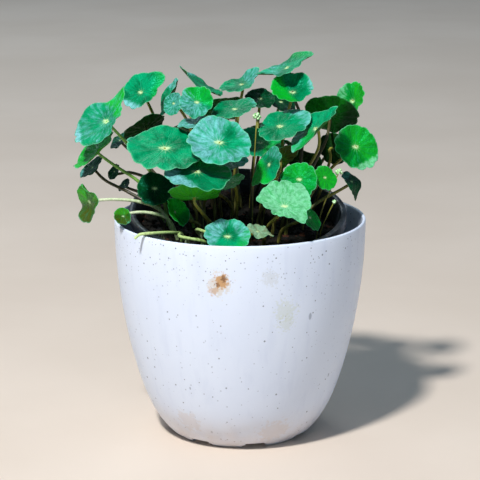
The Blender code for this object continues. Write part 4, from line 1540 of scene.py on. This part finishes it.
@cache
def bud_tree() -> bpy.types.NodeTree:
    """The geometry tree that sets a bud of uneven size on each point.

    Returns:
        The tree.
    """
    inputs = {"Geometry": "Geometry", "Radius": "Float", "Seed": "Int", "Material": "Material"}
    smallest = 0.75
    largest = 1.2
    group = Group("flower_buds", "GeometryNodeTree", inputs)
    given = group.given
    ball = group.out("GeometryNodeMeshIcoSphere", {"Radius": given["Radius"], "Subdivisions": 2})
    ball = group.out("GeometryNodeSetShadeSmooth", {"Geometry": ball})
    size = group.random_number(smallest, largest)
    sources = {"Points": given["Geometry"], "Instance": ball, "Scale": size}
    return group.close_mesh(group.out("GeometryNodeInstanceOnPoints", sources))


@dataclass
class Flowers:
    """The little round flower heads on thin stalks, with buds set by Geometry Nodes."""

    axis: Vector
    root_height: float = 112 * MM
    stalk_foot: float = 0.5 * MM
    stalk_tip: float = 0.32 * MM
    branch: float = 0.16 * MM
    bud: float = 0.80 * MM
    bow: float = 0.25
    cover: float = 1.6
    seed: int = 4

    def bud_places(self, head: FlowerHead, middle: Vector) -> list[Vector]:
        """Where a head's buds stand, round and over its middle.

        Args:
            head: The flower head.
            middle: Its middle in the part's frame.

        Returns:
            The places.
        """
        places = []
        for k in range(head.buds):
            rise = 1 - self.cover * (k + 0.5) / head.buds
            out = math.sqrt(1 - rise**2)
            turn = k * GOLDEN_ANGLE
            way = Vector((out * math.cos(turn), out * math.sin(turn), rise))
            places.append(middle + way * head.reach * MM)
        return places

    def build(self) -> None:
        """Makes every flower head on its stalk."""
        sweep = StemSweep(sides=8)
        for number, head in enumerate(FLOWER_HEADS, 1):
            name = f"flower_head_{number}"
            middle = Vector(head.place) * MM + self.axis
            root = Vector((*head.root, 0)) * MM + self.axis + Vector((0, 0, self.root_height))
            places = self.bud_places(head, middle)
            piece = add_points(name, places, chained=False)
            grow(piece, bud_tree(), Radius=self.bud, Seed=self.seed, Material=material_of(BudFinish()))
            bowed = root.lerp(middle, 0.5) + Vector((root.x - middle.x, root.y - middle.y, 0)) * self.bow
            path = [root, bowed, middle]
            stems = [sweep.along(f"{name}_stalk", path, self.stalk_foot, self.stalk_tip, StemTone.OLIVE)]
            for k, place in enumerate(places):
                branch = f"{name}_branch_{k}"
                stems.append(sweep.along(branch, [middle, place], self.branch, self.branch, StemTone.GREEN))
            join(piece, stems)
            stand_in(piece, "leaf_green")


def turned(name: str, profile: Profile, sides: int) -> bpy.types.Object:
    """Turns a profile of (radius, height) points about Z.

    Args:
        name: The new object's name.
        profile: The points, which run down the outer side.
        sides: How many steps the turn takes.

    Returns:
        The turned object.
    """
    made = add_points(name, [(radius, 0, height) for radius, height in profile], chained=True)
    screw = made.modifiers.new("turn", "SCREW")
    screw.steps = sides
    screw.render_steps = sides
    screw.use_merge_vertices = True
    screw.merge_threshold = 0.01 * MM
    make_plain(made)
    return made


def rounded_lip(middle: float, half: float, foot: float, rise: float, steps: Iterable[int]) -> Profile:
    """The rounded top of a rim, from inside to outside.

    Args:
        middle: The radius at its middle.
        half: Half its width.
        foot: The height where it starts.
        rise: How far it rises.
        steps: Which eighths of the half turn to use.

    Returns:
        The points (radius, height).
    """
    turns = [math.pi * (1 - k / 8) for k in steps]
    return [(middle + half * math.cos(turn), foot + rise * math.sin(turn)) for turn in turns]


def cut_shape(made: bpy.types.Object, shape: bmesh.types.BMesh) -> None:
    """Cuts a shape out of an object.

    Args:
        made: The object.
        shape: The closed shape to cut out, which is used up.
    """
    cutter = add_shape("cutter", shape)
    cut = made.modifiers.new("cut", "BOOLEAN")
    cut.operation = "DIFFERENCE"
    cut.solver = "EXACT"
    cut.object = cutter
    make_plain(made)
    bpy.data.objects.remove(cutter)


@dataclass(frozen=True)
class DrainHoles:
    """A ring of round holes through a pot's floor."""

    count: int
    circle: float = 22 * MM
    radius: float = 3.5 * MM
    sides: int = 24

    def cut(self, pot: bpy.types.Object, height: float, length: float) -> None:
        """Cuts them.

        Args:
            pot: The pot.
            height: The height of their middles.
            length: Their length.
        """
        shape = bmesh.new()
        for k in range(self.count):
            turn = math.tau * (k + 0.5) / self.count
            spot = (self.circle * math.cos(turn), self.circle * math.sin(turn), height)
            ends = {"radius1": self.radius, "radius2": self.radius, "depth": length, "cap_ends": True}
            bmesh.ops.create_cone(shape, segments=self.sides, matrix=Matrix.Translation(spot), **ends)
        cut_shape(pot, shape)


def finish_pot(pot: bpy.types.Object, seat: Matrix, finish: Any, slot: str, node: str) -> None:
    """Smooths a pot, sets it in its place and puts it in the frame.

    Args:
        pot: The pot, standing at the origin.
        seat: The matrix to its place.
        finish: Its finish.
        slot: The record's material slot.
        node: The CAD node that it stands for.
    """
    pot.data.shade_smooth()
    pot.data.set_sharp_from_angle(angle=SHARP_FROM)
    pot.data.transform(seat)
    pot.data.materials.clear()
    pot.data.materials.append(material_of(finish))
    stand_in(pot, slot, node)


@dataclass
class OuterPot:
    """The white pot, finely turned, with its notched foot ring and drain holes."""

    axis: Vector
    wall: float = 2.0 * MM
    floor: float = 6.5 * MM
    recess: float = 4.0 * MM
    foot_width: float = 5.6 * MM
    foot_lift: float = 1.2 * MM
    foot_round: tuple[float, float, float] = (0.2 * MM, 0.35 * MM, 0.8 * MM)
    sides: int = 160
    steps: int = 40
    crowding: float = 1.7
    notches: int = 8
    notch_width: float = 15 * MM
    notch_height: float = 3.5 * MM
    notch_round: float = 1.5 * MM
    round_steps: int = 4
    notch_start: float = math.radians(-78)
    drains: DrainHoles = DrainHoles(4)

    def profile(self) -> Profile:
        """The pot's section, from the middle of its floor up inside, over the rim and down outside.

        Returns:
            The points (radius, height).
        """
        heights = [POT_HEIGHT * (1 - k / self.steps) ** self.crowding for k in range(1, self.steps + 1)]
        rim = self.wall / 2
        corner = pot_radius(self.floor) - 2 * self.wall
        foot = pot_radius(0)
        inset, lift, deeper = self.foot_round
        points = [(0, self.floor), (corner, self.floor)]
        points += [(pot_radius(z) - self.wall, z) for z in reversed(heights) if z > self.floor + self.wall]
        points += rounded_lip(pot_radius(POT_HEIGHT) - rim, rim, POT_HEIGHT - rim, rim, range(9))
        points += [(pot_radius(z), z) for z in heights if z > self.foot_lift]
        points += [(foot - inset, lift), (foot - deeper, 0), (foot - self.foot_width, 0)]
        points += [(foot - self.foot_width, self.recess), (0, self.recess)]
        return points

    def cut_notches(self, pot: bpy.types.Object) -> None:
        """Cuts the rounded notches across the foot ring.

        Args:
            pot: The pot.
        """
        shape = bmesh.new()
        nearly_one = 0.9
        size = Matrix.Diagonal((4 * self.foot_width, self.notch_width, 2 * self.notch_height, 1))
        for k in range(self.notches):
            turn = Matrix.Rotation(self.notch_start + k * math.tau / self.notches, 4, "Z")
            block = turn @ Matrix.Translation((pot_radius(0), 0, 0)) @ size
            made = bmesh.ops.create_cube(shape, size=1, matrix=block)
            edges = {edge for vertex in made["verts"] for edge in vertex.link_edges}
            radial = turn @ Vector((1, 0, 0))
            ways = [(edge, (edge.verts[0].co - edge.verts[1].co).normalized()) for edge in edges]
            along = [edge for edge, way in ways if abs(way @ radial) > nearly_one]
            rounding = {"offset": self.notch_round, "segments": self.round_steps, "affect": "EDGES"}
            bmesh.ops.bevel(shape, geom=along, **rounding)
        cut_shape(pot, shape)

    def build(self) -> None:
        """Makes the pot and puts it in place of its CAD node."""
        pot = turned("outer_pot_fine", self.profile(), self.sides)
        self.cut_notches(pot)
        self.drains.cut(pot, self.floor, 3 * self.floor)
        plastic = WhitePlastic((self.axis.x, self.axis.y))
        finish_pot(pot, Matrix.Translation(self.axis), plastic, "white_plastic", "outer_pot")


@dataclass
class NurseryPot:
    """The black pot, with a rolled lip, a step under it and drain holes."""

    axis: Vector
    height: float = 126 * MM
    rim: float = 64.2 * MM
    top: float = 62.0 * MM
    base: float = 39.5 * MM
    wall: float = 1.2 * MM
    lip: float = 6.5 * MM
    lip_round: float = 0.4 * MM
    step: float = 0.3 * MM
    edge: float = 0.8 * MM
    floor: float = 1.5 * MM
    sides: int = 144
    mouth: tuple[float, float, float] = (-1.2 * MM, -8.4 * MM, 137.6 * MM)
    lean: float = math.radians(10.4)
    roll: float = math.radians(0.9)
    drains: DrainHoles = DrainHoles(5)

    def seat(self) -> Matrix:
        """From the pot's own frame, standing on its base, to the part's.

        Returns:
            The matrix.
        """
        turn = Matrix.Rotation(self.lean, 4, "X") @ Matrix.Rotation(self.roll, 4, "Y")
        place = Matrix.Translation(Vector(self.mouth) + self.axis)
        return place @ turn @ Matrix.Translation((0, 0, -self.height))

    def inner(self, height: float) -> float:
        """The inner radius at a height up the pot's own axis."""
        return self.base + (self.top - self.base) * height / self.height - self.wall

    def profile(self) -> Profile:
        """The pot's section, from the middle of its floor.

        Returns:
            The points (radius, height).
        """
        edge = self.edge
        mouth = self.inner(self.height)
        foot = self.height - self.lip
        points = [(0, self.floor), (self.inner(self.floor) - edge, self.floor)]
        points += [(self.inner(z), z) for z in np.linspace(self.floor + edge, self.height - edge, 12)]
        middle = (mouth + self.rim) / 2
        half = (self.rim - mouth) / 2
        points += rounded_lip(middle, half, self.height - edge, edge, range(1, 8))
        points += [(self.rim, self.height - 2 * edge), (self.rim, foot + self.lip_round)]
        points += [(self.rim - self.lip_round, foot), (self.inner(foot) + self.wall + self.step, foot)]
        points += [(self.inner(foot) + self.wall, foot - edge)]
        points += [(self.inner(z) + self.wall, z) for z in np.linspace(foot - 2 * edge, 2 * edge, 10)]
        points += [(self.base - edge, 0.4 * edge), (self.base - 2 * edge, 0), (0, 0)]
        return points

    def build(self) -> None:
        """Makes the pot and puts it in place of its CAD node."""
        pot = turned("nursery_pot_fine", self.profile(), self.sides)
        self.drains.cut(pot, 0, 4 * self.floor)
        finish_pot(pot, self.seat(), BlackPlastic(), "black_plastic", "nursery_pot")


@cache
def crumb_tree() -> bpy.types.NodeTree:
    """The geometry tree that keeps a surface and scatters crumbs on its upper faces.

    Returns:
        The tree.
    """
    inputs = {"Geometry": "Geometry", "Crumb": "Object", "Seed": "Int", "Material": "Material"}
    inputs.update(dict.fromkeys(("Density", "Smallest", "Largest"), "Float"))
    least_up = 0.3
    least_height = 0.05
    group = Group("scattered_crumbs", "GeometryNodeTree", inputs)
    given = group.given
    up = group.many("ShaderNodeSeparateXYZ", {0: group.out("GeometryNodeInputNormal")})["Z"]
    height = group.many("ShaderNodeSeparateXYZ", {0: group.out("GeometryNodeInputPosition")})["Z"]
    upper = group.maths("GREATER_THAN", up, least_up) * group.maths("GREATER_THAN", height, least_height)
    sources = {"Mesh": given["Geometry"], "Selection": upper}
    sources.update((label, given[label]) for label in ("Density", "Seed"))
    points = group.out("GeometryNodeDistributePointsOnFaces", sources)
    crumb = group.many("GeometryNodeObjectInfo", {"Object": given["Crumb"]})["Geometry"]
    whole_turn = (math.tau, math.tau, math.tau)
    turn = group.out("FunctionNodeRandomValue", {0: (0, 0, 0), 1: whole_turn}, data_type="FLOAT_VECTOR")
    mostly_small = group.maths("POWER", group.random_number(0.0, 1.0), 3.0)
    scale = given["Smallest"] + mostly_small * (given["Largest"] - given["Smallest"])
    sources = {"Points": points, "Instance": crumb, "Rotation": turn, "Scale": scale}
    crumbs = group.out("GeometryNodeInstanceOnPoints", sources)
    both = group.add("GeometryNodeJoinGeometry", {0: given["Geometry"]})
    group.link(crumbs, both.inputs[0])
    return group.close_mesh(Value(group, both.outputs[0]))


@dataclass
class Soil:
    """The damp soil, lumpy on top, with crumbs, bark and grit scattered by Geometry Nodes."""

    pot: NurseryPot
    below_rim: float = 14 * MM
    mound: float = 3 * MM
    bump: float = 0.9 * MM
    fine_bump: float = 0.35 * MM
    lump_length: tuple[float, float] = (7 * MM, 6 * MM)
    fine_length: tuple[float, float, float] = (2.3 * MM, 3.1 * MM, 1.9 * MM)
    gap: float = 0.3 * MM
    corner: float = 1.6 * MM
    rings: int = 60
    sides: int = 128
    crumbs: int = 2600
    smallest: float = 0.35 * MM
    largest: float = 1.9 * MM
    rough: tuple[float, float] = (0.65, 1.2)
    flatness: float = 0.75
    seed: int = 3

    def top_at(self, x: float, y: float) -> float:
        """The height of the soil's surface up the pot's axis.

        Args:
            x: The place across, in the pot's own frame.
            y: The place along, in the pot's own frame.

        Returns:
            The height.
        """
        out = math.hypot(x, y) / self.pot.top
        across, along = self.lump_length
        swell = math.sin(x / across + 1) * math.cos(y / along)
        across, bending, along = self.fine_length
        fine = math.sin(x / across + 2 * math.sin(y / bending)) * math.cos(y / along + 1)
        lumps = self.bump * swell + self.fine_bump * fine
        return self.pot.height - self.below_rim + self.mound * (1 - out**2) + lumps

    def crumb(self) -> bpy.types.Object:
        """The rough little lump that is scattered.

        Returns:
            The crumb, which is removed once it is used.
        """
        shape = bmesh.new()
        bmesh.ops.create_icosphere(shape, subdivisions=1, radius=1)
        draw = random.Random(self.seed)
        for vertex in shape.verts:
            vertex.co *= draw.uniform(*self.rough)
            vertex.co.z *= self.flatness
        made = add_shape("crumb", shape)
        made.data.materials.append(material_of(DampSoil()))
        return made

    def build(self) -> None:
        """Makes the soil and puts it in place of its CAD node."""
        inner = self.pot.inner
        edge = self.pot.height - self.below_rim
        side = inner(edge) - self.gap
        bottom = self.pot.floor + self.gap
        bevel = bottom + self.corner
        profile = [(side * k / self.rings, edge) for k in range(self.rings + 1)]
        profile += [(inner(bevel) - self.gap, bevel), (inner(bottom) - self.corner, bottom), (0, bottom)]
        soil = turned("soil_fine", profile, self.sides)
        for vertex in soil.data.vertices:
            if vertex.co.z > edge - self.gap:
                vertex.co.z = self.top_at(vertex.co.x, vertex.co.y)
        soil.data.transform(self.pot.seat())
        soil.data.shade_smooth()
        crumb = self.crumb()
        density = self.crumbs / (math.pi * side**2)
        grow(soil, crumb_tree(), Crumb=crumb, Density=density, Smallest=self.smallest, Largest=self.largest,
             Seed=self.seed, Material=material_of(DampSoil()))
        bpy.data.objects.remove(crumb)
        stand_in(soil, "soil", "soil")


@dataclass(frozen=True)
class Light:
    """A round soft light: where it stands from the plant and how wide it is, in metres, its power in
    watts and its colour."""

    name: str
    towards: tuple[float, float, float]
    power: float
    width: float
    colour: Colour


LIGHTS = (
    Light("key", (-0.60, -1.20, 1.85), 64, 0.22, (1.0, 0.99, 0.98)),
    Light("fill", (1.7, -1.3, 0.5), 2.1, 1.2, (0.45, 0.70, 1.0)),
    Light("back", (-0.6, 1.8, 1.5), 8, 1.0, (0.80, 0.93, 1.0)),
)


@dataclass
class Studio:
    """The camera at the photo's angle, soft lights and a plain pale floor."""

    axis: Vector
    elevation: float = math.radians(13.8)
    distance: float = 1.2
    aim_height: float = 0.1165
    light_height: float = 0.12
    focal_pixels: float = 2008
    photo_pixels: float = 480
    sensor: float = 36
    sky: Colour = (0.56, 0.77, 1.0)
    sky_strength: float = 0.26
    floor: Colour = (0.66, 0.56, 0.47)
    floor_pale: Colour = (0.70, 0.60, 0.51)
    floor_half: float = 4

    def place(self, name: str, data: Any, height: float, away: Vector) -> bpy.types.Object:
        """Places a camera or light so that it faces the plant.

        Args:
            name: Its name.
            data: Its data.
            height: The height on the pot's axis that it faces.
            away: Where it stands from there.

        Returns:
            The object.
        """
        made = add_object(name, data)
        made.location = self.axis + Vector((0, 0, height)) + away
        made.rotation_mode = "QUATERNION"
        made.rotation_quaternion = (-away).to_track_quat("-Z", "Y")
        return made

    def place_camera(self) -> None:
        """Sets the camera."""
        data = bpy.data.cameras.new("camera")
        data.sensor_width = self.sensor
        data.lens = self.focal_pixels / self.photo_pixels * self.sensor
        back = Vector((0, -math.cos(self.elevation), math.sin(self.elevation)))
        bpy.context.scene.camera = self.place("camera", data, self.aim_height, back * self.distance)

    def place_light(self, light: Light) -> None:
        """Adds a light that shines at the plant.

        Args:
            light: The light.
        """
        data = bpy.data.lights.new(light.name, "AREA")
        data.shape = "DISK"
        data.size = light.width
        data.energy = light.power
        data.color = light.colour
        self.place(light.name, data, self.light_height, Vector(light.towards))

    def lay_floor(self) -> None:
        """Lays the floor, which is only for the picture."""
        shape = bmesh.new()
        bmesh.ops.create_grid(shape, x_segments=1, y_segments=1, size=self.floor_half)
        floor = add_shape("floor", shape)
        skin = Skin("pale_floor", Roughness=0.9)
        mottle = skin.blotches(size=0.2, low=0.3, high=0.7)
        skin.link(skin.mix(mottle, self.floor, self.floor_pale), skin.shader["Base Color"])
        floor.data.materials.append(skin.material)

    def build(self) -> None:
        """Makes the camera, the lights, the world and the floor."""
        self.place_camera()
        for light in LIGHTS:
            self.place_light(light)
        world = bpy.data.worlds.new("soft_room")
        world.use_nodes = True
        background = world.node_tree.nodes["Background"]
        background.inputs[0].default_value = with_alpha(self.sky)
        background.inputs[1].default_value = self.sky_strength
        bpy.context.scene.world = world
        bpy.context.scene.view_settings.view_transform = "Standard"
        self.lay_floor()


def write_sizes() -> None:
    """Updates the view layer."""
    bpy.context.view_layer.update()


def main() -> None:
    """Builds the studio and every piece of the plant."""
    logging.basicConfig(level=logging.INFO, format="%(name)s: %(message)s")
    low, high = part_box("outer_pot")
    axis = Vector(((low.x + high.x) / 2, (low.y + high.y) / 2, 0))
    Studio(axis).build()
    OuterPot(axis).build()
    nursery = NurseryPot(axis)
    nursery.build()
    Soil(nursery).build()
    Foliage(axis).build()
    Runners().build()
    Flowers(axis).build()
    write_sizes()


if __name__ == "__main__":
    main()
